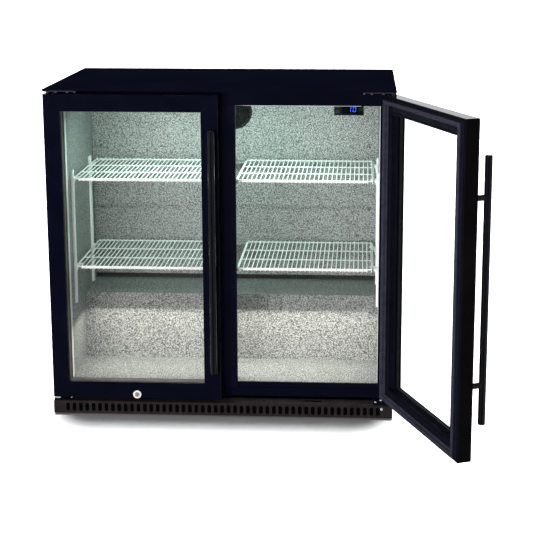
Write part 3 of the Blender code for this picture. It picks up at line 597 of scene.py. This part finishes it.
def mitred_ring(bm, x0, x1, profile, gap, tones=None):
    """Four bars round a door, mitred at the corners with a hairline gap. The profile is a
    closed loop of (inset, y), and tones gives the material of each of its faces."""
    for kind in ("low", "high", "left", "right"):
        ends = []
        for end in (0, 1):
            ring = []
            for u, y in profile:
                if kind in ("low", "high"):
                    x = x0 + u + gap if end == 0 else x1 - u - gap
                    z = Z0 + u if kind == "low" else Z1 - u
                else:
                    x = x0 + u if kind == "left" else x1 - u
                    z = Z0 + u + gap if end == 0 else Z1 - u - gap
                ring.append(bm.verts.new((x, y, z)))
            ends.append(ring)
        n = len(profile)
        for s in range(n):
            t = (s + 1) % n
            face = bm.faces.new((ends[0][s], ends[0][t], ends[1][t], ends[1][s]))
            face.material_index = tones[s] if tones else 0
        if gap:
            bm.faces.new(ends[0])
            bm.faces.new(ends[1][::-1])


def corner_round(loop, radii, steps=3):
    """Rounds the corners of a closed 2-D loop; radii gives one radius a corner."""
    out = []
    n = len(loop)
    for i, (point, r) in enumerate(zip(loop, radii)):
        p = Vector(point)
        if r <= 0:
            out.append(tuple(p))
            continue
        a = Vector(loop[i - 1]) - p
        b = Vector(loop[(i + 1) % n]) - p
        r = min(r, a.length * 0.45, b.length * 0.45)
        a, b = p + a.normalized() * r, p + b.normalized() * r
        for k in range(steps + 1):
            t = k / steps
            out.append(tuple(a * (1 - t) ** 2 + p * 2 * t * (1 - t) + b * t * t))
    return out


# ---------------------------------------------------------------- shell
refine("top_panel", "black_top", 0.001, 3, "top_panel_sheet")
for side, sx in SIDES:
    refine("side_panel_" + side, "side_sheet", 0.0004, 2, "side_sheet_" + side)
refine("face_frame", "black_sheet", 0.0007, 2, "face_frame_sheet")
# the mullion is black in front, in a lighter copy of the sheet black that is painted light,
# and white behind the front edge like the shelf strips
post = refine("mullion", "mullion_painted_light", 0.0009, 3, "mullion_sheet")
post.data.materials.append(M["white_coat"])
for face in post.data.polygons:
    if abs(face.center.x - OX) > 0.0304 and face.center.y - OY > 0.033:
        face.material_index = 1
refine("base_pan", "black_sheet", 0.0003, 1, "base_pan_sheet")
refine("rear_panel", "zinc_sheet", 0.0003, 1, "rear_panel_sheet")
refine("inner_liner", "stucco", 0.0003, 1, "liner_sheet")
refine("evaporator_cover", "stucco", 0.0004, 1, "evaporator_cover_sheet")
dress("insulation", "foam")

# kick grille: a folded sheet with round-ended slots and two slots for the lock cams
LOCK_X, LOCK_Z = 0.225, 0.059
SLOT_COUNT, SLOT_PITCH, FIRST_SLOT = 49, 0.01715, -0.4116
bm = bmesh.new()
holes = [slot_outline(FIRST_SLOT + SLOT_PITCH * n, 0.0215, 0.01, 0.023)
         for n in range(SLOT_COUNT)]
cut_sheet(bm, [rect_outline(-0.4495, 0.4495, 0.004, 0.0384, 0.0015)] + holes,
          -0.048, -0.0465, "XZ", 0.0003)
holes = [slot_outline(sx * LOCK_X + 0.015, -0.0195, 0.049, 0.013) for _, sx in SIDES]
cut_sheet(bm, [rect_outline(-0.4494, 0.4494, -0.0466, -0.0045)] + holes,
          0.0371, 0.0385, "XY", 0.0003)
for _, sx in SIDES:
    x0, x1 = sorted((sx * 0.4495, sx * 0.4481))
    rounded_box(bm, x0, x1, -0.0466, -0.0045, 0.004, 0.0372, 0.0003, 1)
finish_piece("kick_grille_sheet", bm, "grille", ("kick_grille",))

# a near-black sheet just behind the grille's slots: painted shade, so the slots read dark
bm = bmesh.new()
rounded_box(bm, -0.4475, 0.4475, -0.0463, -0.0457, 0.006, 0.0366, 0.0002, 1)
finish_piece("slot_shade_sheet", bm, "slot_shade_sheet")

# rear louvres: each slot has a pressed hood above it
BACK_Y, HOOD_Y = 0.472, 0.4712
bm = bmesh.new()
holes = []
for _, sx in SIDES:
    for n in range(10):
        z = 0.046 + 0.0165 * n
        x0, x1 = sorted((sx * 0.06, sx * 0.38))
        holes.append(rect_outline(x0, x1, z, z + 0.0075, 0.002))
        hood = [(HOOD_Y, z + 0.0083)]
        for u, v, low, angles in ((0.0052, 0.0074, 0.0009, range(8, 98, 15)),
                                  (0.0044, 0.0066, 0.0007, range(90, 0, -15))):
            hood += [(HOOD_Y + u * sin(radians(a)), z + low + v * cos(radians(a)))
                     for a in angles]
        hood += [(HOOD_Y, z + 0.0073)]
        prism(bm, hood, x0 + 0.0004, x1 - 0.0004, "YZ")
cut_sheet(bm, [rect_outline(-0.45, 0.45, 0.0125, 0.2337)] + holes, 0.4708, BACK_Y)
finish_piece("rear_louvre_sheet", bm, "zinc_sheet", ("rear_grille",))

bm = bmesh.new()
for _, sx in SIDES:
    for z in (0.25, 0.4, 0.55, 0.7, 0.85, 0.03, 0.13, 0.22):
        screw_head(bm, (sx * 0.44, BACK_Y, z), (0, 1, 0))
for x in (-0.3, -0.15, 0.0, 0.15, 0.3):
    for z in (0.856, 0.2245, 0.244):
        screw_head(bm, (x, BACK_Y, z), (0, 1, 0))
finish_piece("rear_screws", bm, "zinc_sheet dark_recess")

# ---------------------------------------------------------------- doors
X_IN, X_OUT, Z0, Z1 = 0.0015, 0.449, 0.048, 0.857
YF, YB = -0.048, -0.012                         # front and back of the frame
LIP, RAIL, PANE_EDGE = 0.044, 0.036, 0.0363     # measured in from the door's edge

for side, sx in SIDES:
    body = side + "_door"
    place = door_place(side)
    x0, x1 = sorted((sx * X_IN, sx * X_OUT))
    lock = sx * LOCK_X
    pivot = (sx * HINGE_X, HINGE_Y, 0)

    # frame: four mitred bars of a black section with a lip in front of the glass; the upright
    # outer edges take a darker, browner black that is painted shade, and the back of the section
    # has its own black
    profile = corner_round(
        [(0.0, YF), (LIP, YF), (LIP, YF + 0.002), (RAIL, YF + 0.002), (RAIL, YB), (0.0, YB)],
        [0.0016, 0.0009, 0.0003, 0.0003, 0.0005, 0.0008])
    tones = [1 if max(a[0], b[0]) < 0.0002 else 2 if min(a[1], b[1]) > YB - 0.0002 else 0
             for a, b in zip(profile, profile[1:] + profile[:1])]
    bm = bmesh.new()
    mitred_ring(bm, x0, x1, profile, 0.0001, tones)
    bars = finish_piece("door_bars_" + side, bm, "black_frame black_edge black_inner",
                        ("door_frame_" + side,), 30.0, body, place)
    cuts = [bmesh.new() for _ in range(4)]
    box_into(cuts[0], lock - 0.011, lock + 0.034, -0.0235, -0.0155, 0.04, LOCK_Z + 0.0115)
    for cut, za, zb in ((cuts[1], Z0 - 0.002, Z0 + 0.015), (cuts[2], Z1 - 0.015, Z1 + 0.002)):
        lathe(cut, [(0, za), (0.0043, za), (0.0043, zb), (0, zb)], 32, "Z", pivot)
    lathe(cuts[3], [(0, YF - 0.003), (0.009, YF - 0.003), (0.009, -0.021), (0, -0.021)], 40,
          "Y", (lock, 0, LOCK_Z))
    combine(bars, cuts, place, "DIFFERENCE")
    flat_shading(bars, 30.0)
    for face in bars.data.polygons:
        if face.material_index == 1 and abs(face.normal.z) > 0.5:
            face.material_index = 0

    # bead round the inner pane, stepped like a snap-in strip
    y0 = -0.0308                                # just clear of the inner pane
    profile = corner_round(
        [(PANE_EDGE, y0), (LIP, y0), (LIP, y0 + 0.004), (LIP - 0.0016, y0 + 0.006),
         (LIP - 0.0016, YB - 0.004), (LIP - 0.0004, YB - 0.0022), (LIP - 0.0004, YB),
         (PANE_EDGE, YB)],
        [0.0002, 0.0006, 0.0005, 0.0005, 0.0005, 0.0005, 0.0006, 0.0002], 2)
    bm = bmesh.new()
    mitred_ring(bm, x0, x1, profile, 0.0001)
    flat_shading(finish_piece("bead_" + side, bm, "bead_" + side,
                              ("glazing_bead_" + side,), 40.0, body, place), 35.0)
    dress("outer_pane_" + side, "pane")
    dress("inner_pane_" + side, "pane")
    # the spacer's colour differs by door: painted light on the left, painted shade on the right
    dress("pane_spacer_" + side, "spacer_" + side)

    # magnetic gasket: outer lip, magnet pocket, inner flap, as (inset, height)
    rubber = [(0.0, 0.0), (0.0, 0.0036), (0.0006, 0.0046), (0.0016, 0.0044), (0.0022, 0.0034),
              (0.0028, 0.0034), (0.003, 0.009), (0.0036, 0.0104), (0.0048, 0.0112),
              (0.0074, 0.0113), (0.0078, 0.0109), (0.0084, 0.0109), (0.0088, 0.0113),
              (0.011, 0.0112), (0.0122, 0.0104), (0.0128, 0.009), (0.013, 0.003),
              (0.014, 0.0026), (0.0156, 0.0032), (0.0166, 0.0026), (0.017, 0.0014),
              (0.017, 0.0)]
    tones = [1 if u < 0.0029 and v < 0.0085 else 0 for u, v in rubber]
    bm = bmesh.new()
    mitred_ring(bm, x0, x1, [(0.006 + u, YB + 0.0003 + v) for u, v in rubber], 0.0, tones)
    finish_piece("gasket_seal_" + side, bm, "gasket gasket_dark",
                 ("gasket_" + side,), 50.0, body, place)

    # tubular handle on two posts
    hx, hy, r = sx * 0.0165, -0.0795, 0.009
    bm = bmesh.new()
    lathe(bm, [(0, 0.13), (r - 0.0026, 0.13), (r - 0.0012, 0.1304), (r - 0.0003, 0.1314),
               (r, 0.1328), (r, 0.7672), (r - 0.0003, 0.7686), (r - 0.0012, 0.7696),
               (r - 0.0026, 0.77), (0, 0.77)], 48, "Z", (hx, hy, 0))
    handle = finish_piece("handle_bar_" + side, bm, "black_gloss",
                          ("door_handle_" + side,), None, body, place)
    posts = [bmesh.new(), bmesh.new()]
    for post, z in zip(posts, (0.227, 0.673)):
        lathe(post, [(0, hy), (0.007, hy), (0.007, -0.0512), (0.0073, -0.0506),
                     (0.0086, -0.0503), (0.0088, -0.0499), (0.0088, -0.0483), (0, -0.0483)], 40,
              "Y", (hx, 0, z))
    combine(handle, posts, place)
    smooth_below(handle, 38.0)

    # lock: chrome collar in near-white zinc that is partly painted highlight, and a plug face
    # with its key slot that turns with the cam
    bm = bmesh.new()
    lathe(bm, [(0.0062, -0.0494), (0.0068, -0.0498), (0.0096, -0.0497), (0.0106, -0.0493),
               (0.011, -0.0487), (0.011, -0.0483), (0.0085, -0.0483), (0.0085, -0.0228),
               (0.0062, -0.0228)], 48, "Y", (lock, 0, LOCK_Z), True)
    finish_piece("lock_collar_" + side, bm, "zinc_bright",
                 ("lock_body_" + side,), 35.0, body, place)
    dress("lock_cam_" + side, "chrome")
    bm = bmesh.new()
    key = [(lock + u, LOCK_Z + v) for u, v in
           ((-0.0006, -0.0031), (0.0006, -0.0031), (0.0006, -0.0008), (0.0012, -0.0002),
            (0.0006, 0.0006), (0.0006, 0.0031), (-0.0006, 0.0031))]
    cut_sheet(bm, [ring_outline(lock, LOCK_Z, 0.0055, 32), key], -0.0497, -0.0493, "XZ", 0.0001)
    finish_piece("lock_face_" + side, bm, "brass", (), 40.0, side + "_lock", place)

# ---------------------------------------------------------------- hinges
for side, sx in SIDES:
    refine("hinge_top_" + side, "hinge_grey", 0.0004, 2, "top_hinge_" + side)
    refine("hinge_bottom_" + side, "black_sheet", 0.0004, 2, "bottom_hinge_" + side)
    bm = bmesh.new()
    lathe(bm, [(0.0071, 0.042), (0.008, 0.0421), (0.0083, 0.0427), (0.0083, 0.0436),
               (0.008, 0.0442), (0.0071, 0.0443)], 40, "Z", (sx * HINGE_X, HINGE_Y, 0), True)
    finish_piece("hinge_washer_" + side, bm, "zinc_bright")
    bm = bmesh.new()
    for x, y, r in ((0.368, -0.039, 0.0022), (0.387, -0.038, 0.0032),
                    (0.416, -0.036, 0.0032), (0.43, -0.01, 0.0032)):
        screw_head(bm, (sx * x, y, 0.8627), (0, 0, -1), r, 0.0036, False)
    # the top hinge's screws sit under the top panel: their dim zinc is painted shade
    for face in bm.faces:
        face.material_index = 2
    for x, y in ((0.405, -0.03), (0.419, -0.016), (0.431, -0.01)):
        screw_head(bm, (sx * x, y, 0.0418), (0, 0, 1), 0.003, 0.0018)
    finish_piece("hinge_screws_" + side, bm, "zinc_bright dark_recess zinc_dim")
bm = bmesh.new()
screw_head(bm, (0.421, -0.048, 0.029), (0, -1, 0), 0.0034, 0.0014)
finish_piece("grille_screw", bm, "zinc_bright dark_recess")
# bright trim on the side walls, just inside the door opening
bm = bmesh.new()
for _, sx in SIDES:
    rounded_box(bm, *sorted((sx * 0.4088, sx * 0.4099)), 0.0132, 0.03, 0.0808, 0.8242, 0.0004, 1)
finish_piece("side_trim", bm, "white_coat")

# ---------------------------------------------------------------- wire shelves
def wire_shelf(name, sx, top):
    """Thin wires from back to front that turn down over a heavier rim with two cross bars."""
    xa, xb = sorted((sx * 0.034, sx * 0.397))
    y0, y1 = 0.03, 0.335
    wire, rim, corner, count = 0.0014, 0.002, 0.012, 31
    bm = bmesh.new()
    zt = top - wire
    for k in range(count):
        x = xa + 0.006 + (xb - xa - 0.012) * k / (count - 1)
        path = [(x, y1 - 0.0012, zt), (x, 0.2, zt), (x, y0 + 0.0052, zt)]
        path += [(x, y, z) for y, z in bend(y0 + wire + 0.003, zt - 0.003, 0.003, 90, 90, 4)]
        path += [(x, y0 + wire, top - 0.0104)]
        tube(bm, path, wire, 8)
    z1, ya, yb = top - 2 * wire - rim + 0.0002, y0 + 2 * wire + rim, y1 - rim
    tube(bm, [(x, y, z1) for x, y in rect_outline(xa + rim, xb - rim, ya, yb, corner, 5)],
         rim, 10, True)
    tube(bm, [(xa + 0.016, ya, z1 - 0.0034), (xb - 0.016, ya, z1 - 0.0034)], rim * 0.9, 10)
    for y in (0.133, 0.234):
        tube(bm, [(xa + 0.004, y, z1 - 0.0001), (xb - 0.004, y, z1 - 0.0001)], rim * 0.9, 10)
    finish_piece("wire_" + name, bm, "white_coat", (name,), 50.0, name)


SHELF_TOPS = {"lower": 0.39, "upper": 0.628}
for level, top in SHELF_TOPS.items():
    for side, sx in SIDES:
        wire_shelf(f"shelf_{level}_{side}", sx, top)

# ---------------------------------------------------------------- shelf strips with gusset clips
Z_STRIP = (0.273, 0.638)
for where, y0 in (("front", 0.07), ("rear", 0.295)):
    for side, sx in SIDES:
        bm = bmesh.new()
        holes = [slot_outline(y0 + 0.0075, Z_STRIP[0] + 0.0125 + 0.02 * n, 0.0036, 0.01, 4)
                 for n in range(18)]
        cut_sheet(bm, [rect_outline(y0, y0 + 0.015, *Z_STRIP, 0.001)] + holes,
                  *sorted((sx * 0.404, sx * 0.4052)), "YZ")
        for ya in (y0, y0 + 0.0138):
            rounded_box(bm, *sorted((sx * 0.405, sx * 0.4096)), ya, ya + 0.0012, *Z_STRIP,
                        0.0003, 1)
        for top in SHELF_TOPS.values():
            zt = top - 0.0073
            outline = [(sx * 0.4042, zt), (sx * 0.386, zt), (sx * 0.386, zt - 0.0016)]
            for k in range(1, 8):
                a = radians(90 * k / 8)
                outline.append((sx * (0.386 + 0.0168 * sin(a)),
                                zt - 0.0016 - 0.021 * (1 - cos(a))))
            outline += [(sx * 0.4028, zt - 0.0226), (sx * 0.4042, zt - 0.0226)]
            part = bmesh.new()
            prism(part, outline, y0 + 0.0022, y0 + 0.0128)
            bmesh.ops.bevel(part, geom=[e for e in part.edges if e.calc_face_angle(0) > 0.9],
                            offset=0.0004, segments=1, profile=0.5, affect="EDGES",
                            clamp_overlap=True)
            merge(bm, part)
        name = f"strip_{where}_{side}"
        finish_piece(name + "_channel", bm, "white_coat", (name,))

# ---------------------------------------------------------------- light, controller, display
bm = bmesh.new()
rounded_box(bm, -0.36, 0.36, 0.053, 0.066, 0.8228, 0.8247, 0.0005)
for ya, yb in ((0.053, 0.0542), (0.0648, 0.066)):
    rounded_box(bm, -0.36, 0.36, ya, yb, 0.8172, 0.8232, 0.0004)
for _, sx in SIDES:
    rounded_box(bm, *sorted((sx * 0.36, sx * 0.356)), 0.0531, 0.0659, 0.8172, 0.8232, 0.0006)
finish_piece("led_housing", bm, "white_coat", ("led_strip",))
bm = bmesh.new()
outline = [(0.0543, 0.8225)] + [
    (0.0595 - 0.0051 * cos(radians(a)), 0.8205 - 0.0024 * sin(radians(a)))
    for a in range(0, 181, 15)] + [(0.0647, 0.8225)]
prism(bm, outline, -0.3558, 0.3558, "YZ")
finish_piece("led_lens", bm, "led_glow")

refine("controller", "black_plastic", 0.0005, 2, "controller_case")
dress("display", "display_window")
for key in ("key_up", "key_down", "key_set"):
    refine(key, "grey_plastic", 0.0004, 2, key + "_cap")

# the digits 1 and 0 of the display, made of leaning bars: half width, half height, thickness
DIGIT_Z, DIGIT_LEAN = 0.803, 0.1
w, h, t = 0.0088 / 2, 0.0138 / 2, 0.0018
BARS = {"a": (-w + t, w - t, h - t, h), "b": (w - t, w, t * 0.4, h - t * 0.4),
        "c": (w - t, w, -h + t * 0.4, -t * 0.4), "d": (-w + t, w - t, -h, -h + t),
        "e": (-w, -w + t, -h + t * 0.4, -t * 0.4), "f": (-w, -w + t, t * 0.4, h - t * 0.4)}
bm = bmesh.new()
for cx, lit_bars in ((0.3292, "bc"), (0.3425, "abcdef")):
    for bar in lit_bars:
        x0, x1, z0, z1 = BARS[bar]
        part = bmesh.new()
        box_into(part, cx + x0, cx + x1, 0.0993, 0.0996, DIGIT_Z + z0, DIGIT_Z + z1)
        for v in part.verts:
            v.co.x += (v.co.z - DIGIT_Z) * DIGIT_LEAN
        merge(bm, part)
finish_piece("display_digits", bm, "digit_glow", (), None)

# ---------------------------------------------------------------- fan guard, cover screws
FAN_Z, GUARD_Y, COVER_Y = 0.76, 0.3532, 0.355
bm = bmesh.new()
for radius in (0.0175, 0.0235, 0.0295, 0.0355, 0.0415):
    tube(bm, [(x, GUARD_Y, z) for x, z in ring_outline(0, FAN_Z, radius, 48)], 0.0011, 8, True)
lathe(bm, [(0.0455, 0.352), (0.0478, 0.3517), (0.05, 0.3524), (0.05, 0.3547),
           (0.0455, 0.3547)], 64, "Y", (0, 0, FAN_Z), True)
lathe(bm, [(0, 0.3519), (0.0095, 0.3519), (0.0118, 0.3524), (0.0118, 0.3544), (0, 0.3544)], 40,
      "Y", (0, 0, FAN_Z))
for k in range(8):
    a = 2 * pi * (k + 0.5) / 8
    centre, d = Vector((0, 0.3538, FAN_Z)), Vector((cos(a), 0, sin(a)))
    tube(bm, [centre + d * 0.011, centre + d * 0.0462], 0.001, 8)
finish_piece("fan_guard_rings", bm, "grey_plastic", ("evap_fan_guard",), 45.0)
dress("evap_fan_motor", "black_plastic")
dress("evap_fan_blades", "grey_plastic")
dress("evaporator_coil", "plain_aluminium")
bm = bmesh.new()
for _, sx in SIDES:
    for x, z in ((0.385, 0.3), (0.385, 0.48), (0.385, 0.66), (0.385, 0.8), (0.13, 0.8)):
        screw_head(bm, (sx * x, COVER_Y, z), (0, -1, 0), 0.0038, 0.0016)
finish_piece("cover_screws", bm, "plain_aluminium dark_recess")

# ---------------------------------------------------------------- machine space
# compressor: a welded shell on four rubber feet, with its terminal box
bm = bmesh.new()
cx, cy = -0.22, 0.352
shell = [(0, 0.024), (0.05, 0.024), (0.07, 0.027), (0.0785, 0.033), (0.0815, 0.046),
         (0.082, 0.064), (0.082, 0.101), (0.0838, 0.1016), (0.0838, 0.1064), (0.082, 0.107),
         (0.0815, 0.126), (0.078, 0.148), (0.07, 0.17), (0.056, 0.187), (0.034, 0.1975),
         (0.016, 0.2005), (0, 0.201)]
lathe(bm, shell, 56, "Z", (cx, cy, 0))
for k in range(4):
    a = radians(45 + 90 * k)
    lathe(bm, [(0, 0.0143), (0.011, 0.0143), (0.012, 0.0165), (0.01, 0.0215), (0.006, 0.024),
               (0.006, 0.029), (0, 0.029)], 24, "Z",
          (cx + 0.06 * cos(a), cy + 0.06 * sin(a), 0))
rounded_box(bm, cx + 0.076, cx + 0.099, cy - 0.022, cy + 0.022, 0.072, 0.118, 0.003)
finish_piece("compressor_shell", bm, "black_sheet", ("compressor",), 35.0)

# condenser: fins, end plates, a shroud round its fan, the motor on three arms, the pipes
FIN_COUNT, FIN_HALF = 61, 0.00012
bm = bmesh.new()
for n in range(FIN_COUNT):
    x = 0.043 + 0.234 * n / (FIN_COUNT - 1)
    box_into(bm, x - FIN_HALF, x + FIN_HALF, 0.271, 0.317, 0.016, 0.204)
finish_piece("condenser_fins", bm, "plain_aluminium", (), None)
bm = bmesh.new()
for x in (0.04, 0.279):
    rounded_box(bm, x, x + 0.0012, 0.27, 0.3185, 0.0148, 0.205, 0.0003, 1)
cut_sheet(bm, [rect_outline(0.04, 0.2802, 0.0148, 0.205),
               ring_outline(0.16, 0.11, 0.08, 48)], 0.319, 0.3202)
lathe(bm, [(0, 0.324), (0.02, 0.324), (0.0215, 0.3255), (0.0215, 0.344), (0.019, 0.347),
           (0, 0.347)], 36, "Y", (0.16, 0, 0.11))
c = Vector((0.16, 0.3255, 0.11))
for k in range(3):
    a = radians(90 + 120 * k)
    d = Vector((cos(a), 0, sin(a)))
    tube(bm, [c + d * 0.018, c + d * 0.078, c + d * 0.086 + Vector((0, -0.005, 0))], 0.002, 8)
finish_piece("condenser_frame", bm, "black_sheet", ("condenser",), 35.0)
PIPE, PIPE_Y, ROWS, ROW_PITCH = 0.003, 0.294, 8, 0.0225      # PIPE is the radius
bm = bmesh.new()
path = []
for row in range(ROWS):
    z = 0.03 + ROW_PITCH * row
    xs = (0.039, 0.283) if row % 2 == 0 else (0.283, 0.039)
    path += [(x, PIPE_Y, z) for x in xs]
    if row < ROWS - 1:
        s = 1 if row % 2 == 0 else -1
        for k in range(1, 6):
            a = radians(-90 + 180 * k / 6)
            path.append((xs[1] + s * 0.0112 * cos(a), PIPE_Y,
                         z + ROW_PITCH / 2 + ROW_PITCH / 2 * sin(a)))
for points in (path,
               [(0.039, PIPE_Y, 0.03), (0.02, 0.296, 0.03), (-0.03, 0.32, 0.029),
                (-0.09, 0.34, 0.035), (-0.138, 0.35, 0.055)],
               [(0.039, PIPE_Y, 0.1875), (0.015, 0.295, 0.19), (-0.05, 0.3, 0.2),
                (-0.12, 0.33, 0.198), (-0.17, 0.35, 0.185)]):
    tube(bm, points, PIPE)
finish_piece("refrigerant_pipe", bm, "copper", (), 50.0)
dress("condenser_fan_blades", "plain_aluminium")

# cord gland: a ribbed boot
bm = bmesh.new()
lathe(bm, [(0, 0.4723), (0.012, 0.4723), (0.012, 0.474), (0.0114, 0.4748), (0.0088, 0.4752),
           (0.0082, 0.4762), (0.0086, 0.477), (0.0078, 0.4778), (0.0082, 0.4786), (0.0074, 0.4794),
           (0.0076, 0.4802), (0.0068, 0.4812), (0.0062, 0.482), (0.004, 0.482), (0.0038, 0.479),
           (0, 0.479)], 40, "Y", (-0.33, 0, 0.03))
finish_piece("gland_boot", bm, "rubber_foot", ("cord_gland",))

# ---------------------------------------------------------------- feet
for name, (x, y) in {"front_left": (-0.4, 0.04), "front_right": (0.4, 0.04),
                     "rear_left": (-0.4, 0.43), "rear_right": (0.4, 0.43)}.items():
    bm = bmesh.new()
    lathe(bm, [(0, 0), (0.0176, 0), (0.0186, 0.0004), (0.019, 0.0012), (0.019, 0.0042),
               (0.0184, 0.0052), (0.013, 0.0078), (0.006, 0.0082), (0.006, 0.0122),
               (0, 0.0122)], 48, "Z", (x, y, 0))
    finish_piece("foot_pad_" + name, bm, "rubber_foot", ("foot_" + name,), 35.0)

# ---------------------------------------------------------------- floor, light, camera
FLOOR = 60.0
bm = bmesh.new()
bm.faces.new([bm.verts.new((x * FLOOR, y * FLOOR, 0)) for x, y in
              ((-1, -1), (1, -1), (1, 1), (-1, 1))])
mesh = bpy.data.meshes.new("floor")
bm.to_mesh(mesh)
bm.free()
paper = Paint("floor_paper", 0.8, 0.0, 0.0)
paper.colour(paper.noise(0.7, 3.0), [(0.3, (0.8, 0.812, 0.822)), (0.7, (0.806, 0.818, 0.828))])
paper.set("Emission Color", (1.0, 0.93, 0.9, 1.0))
paper.set("Emission Strength", 0.07)
mesh.materials.append(paper.mat)
floor = put("floor", mesh)
floor.visible_glossy = False
floor.visible_diffuse = False


def lamp(name, kind, energy, place, aim=(0, 0, 0), size=None, colour=(1, 1, 1)):
    """A sun, whose size is its angle, or an area lamp, which is never seen itself."""
    data = bpy.data.lights.new(name, kind)
    data.energy = energy
    data.color = colour
    ob = put(name, data)
    if kind == "AREA":
        data.shape = "RECTANGLE"
        data.size, data.size_y = size
        ob.visible_camera = False
        ob.visible_glossy = False
    else:
        data.angle = radians(size)
    ob.location = place
    ob.rotation_mode = "QUATERNION"
    ob.rotation_quaternion = (Vector(aim) - Vector(place)).to_track_quat("-Z", "Y")
    return ob


floor_light = lamp("floor_light", "SUN", 12.0, (0.0, 0.69, 4.2), size=15.2)
top_light = lamp("top_light", "SUN", 3.2, (-0.6, 0.3, 4.0), size=14)
area_lamps = [
    lamp("front_fill", "AREA", 150.0, P(-0.9, -3.2, 0.75), P(0, 0.1, 0.4), (2.2, 1.0),
         (1.0, 0.97, 0.935)),
    lamp("led_light", "AREA", 3.25, P(0, 0.07, 0.8125), P(0, 0.26, 0.3), (0.56, 0.01),
         (0.7, 1.0, 0.89)),
    lamp("low_light", "AREA", 1.9, P(0, 0.115, 0.225), P(0, 0.115, 0.08), (0.78, 0.14),
         (1.0, 0.965, 0.88)),
    lamp("back_fill", "AREA", 60.0, P(0.6, 3.4, 1.3), P(0, 0.4, 0.4), (2.6, 1.6),
         (0.97, 0.98, 1.0))]


def group(name, members, state):
    """A light-linking set."""
    made = bpy.data.collections.new(name)
    for member in members:
        made.objects.link(member)
    for entry in made.collection_objects:
        entry.light_linking.link_state = state
    return made


# the floor takes its soft shadow from the cabinet alone, and the object has its own top light
casters = [bpy.data.objects[name] for name in (
    "top_panel_sheet", "side_sheet_left", "side_sheet_right", "face_frame_sheet",
    "mullion_sheet", "base_pan_sheet", "rear_panel_sheet", "rear_louvre_sheet",
    "kick_grille_sheet", "liner_sheet", "slot_shade_sheet")]
floor_light.light_linking.receiver_collection = group("floor_only", [floor], "INCLUDE")
floor_light.light_linking.blocker_collection = group("casters", casters, "INCLUDE")
not_floor = group("not_floor", [floor], "EXCLUDE")
for each in area_lamps:
    each.light_linking.receiver_collection = not_floor
shaded = [floor, NODES["pane_spacer_right"], bpy.data.objects["bead_right"],
          bpy.data.objects["gasket_seal_right"]]
top_light.light_linking.receiver_collection = group("shaded", shaded, "EXCLUDE")

# world: white where the camera sees it; what lights and reflects is a room that is bright at
# the back (+Y) near the horizon, with a dim sheen from both sides, kept off the back's left
scene = bpy.context.scene
scene.world = bpy.data.worlds.new("studio")
scene.world.use_nodes = True
scene.world.node_tree.nodes.clear()
sky = Nodes(scene.world.node_tree, "Generated")
axes = sky.add("SeparateXYZ", {"Vector": sky.coord}).outputs


def along(axis, stops):
    """A ramp over one axis of the direction, which runs from -1 to 1."""
    return sky.ramp(sky.spread(axes[axis], 0.0, 1.0, -1.0, 1.0), stops)


deep = along("Y", [(0.0, (0.006, 0.006, 0.007)), (0.4, (0.015, 0.015, 0.017)),
                   (0.62, (0.3, 0.31, 0.32)), (1.0, (1.1, 1.1, 1.12))])
high = along("Z", [(at, (level,) * 3) for at, level in
                   ((0.475, 0.05), (0.505, 1.0), (0.59, 1.0), (0.63, 0.04))])
wide = along("X", [(at, (level, level, level * 1.05)) for at, level in
                   ((0.24, 0.32), (0.33, 0.0), (0.67, 0.0), (0.76, 0.32))])
kept = sky.math("MAXIMUM", sky.spread(axes["Y"], 1.0, 0.0, 0.1, 0.4),
                sky.math("GREATER_THAN", axes["X"], 0.0))
room = sky.math("ADD", sky.math("MULTIPLY", deep, high, "VectorMath"),
                sky.math("MULTIPLY", wide, kept, "VectorMath"), "VectorMath")
lit_by = sky.add("Background", {"Color": room, "Strength": 1.0}).outputs["Background"]
seen = sky.add("Background", {"Color": (1.0, 1.0, 1.0, 1.0), "Strength": 1.25})
by_camera = sky.add("LightPath").outputs["Is Camera Ray"]
both = sky.add("MixShader", {"Fac": by_camera, 1: lit_by, 2: seen.outputs["Background"]})
sky.add("OutputWorld", {"Surface": both.outputs["Shader"]})

scene.view_settings.view_transform = "Standard"
scene.view_settings.look = "None"
scene.view_settings.exposure = 0.0
scene.view_settings.gamma = 1.0

lens = bpy.data.cameras.new("camera")
lens.sensor_width = 36.0
lens.lens = 88.06
lens.shift_x, lens.shift_y = -0.065, -0.14
lens.clip_start, lens.clip_end = 0.05, 200.0
scene.camera = camera = put("camera", lens)
camera.location = (0.263, -3.324, 1.267)
down, left = radians(11.39), radians(-2.77)
look = Vector((sin(left) * cos(down), cos(left) * cos(down), -sin(down)))
camera.rotation_mode = "QUATERNION"
camera.rotation_quaternion = look.to_track_quat("-Z", "Y")
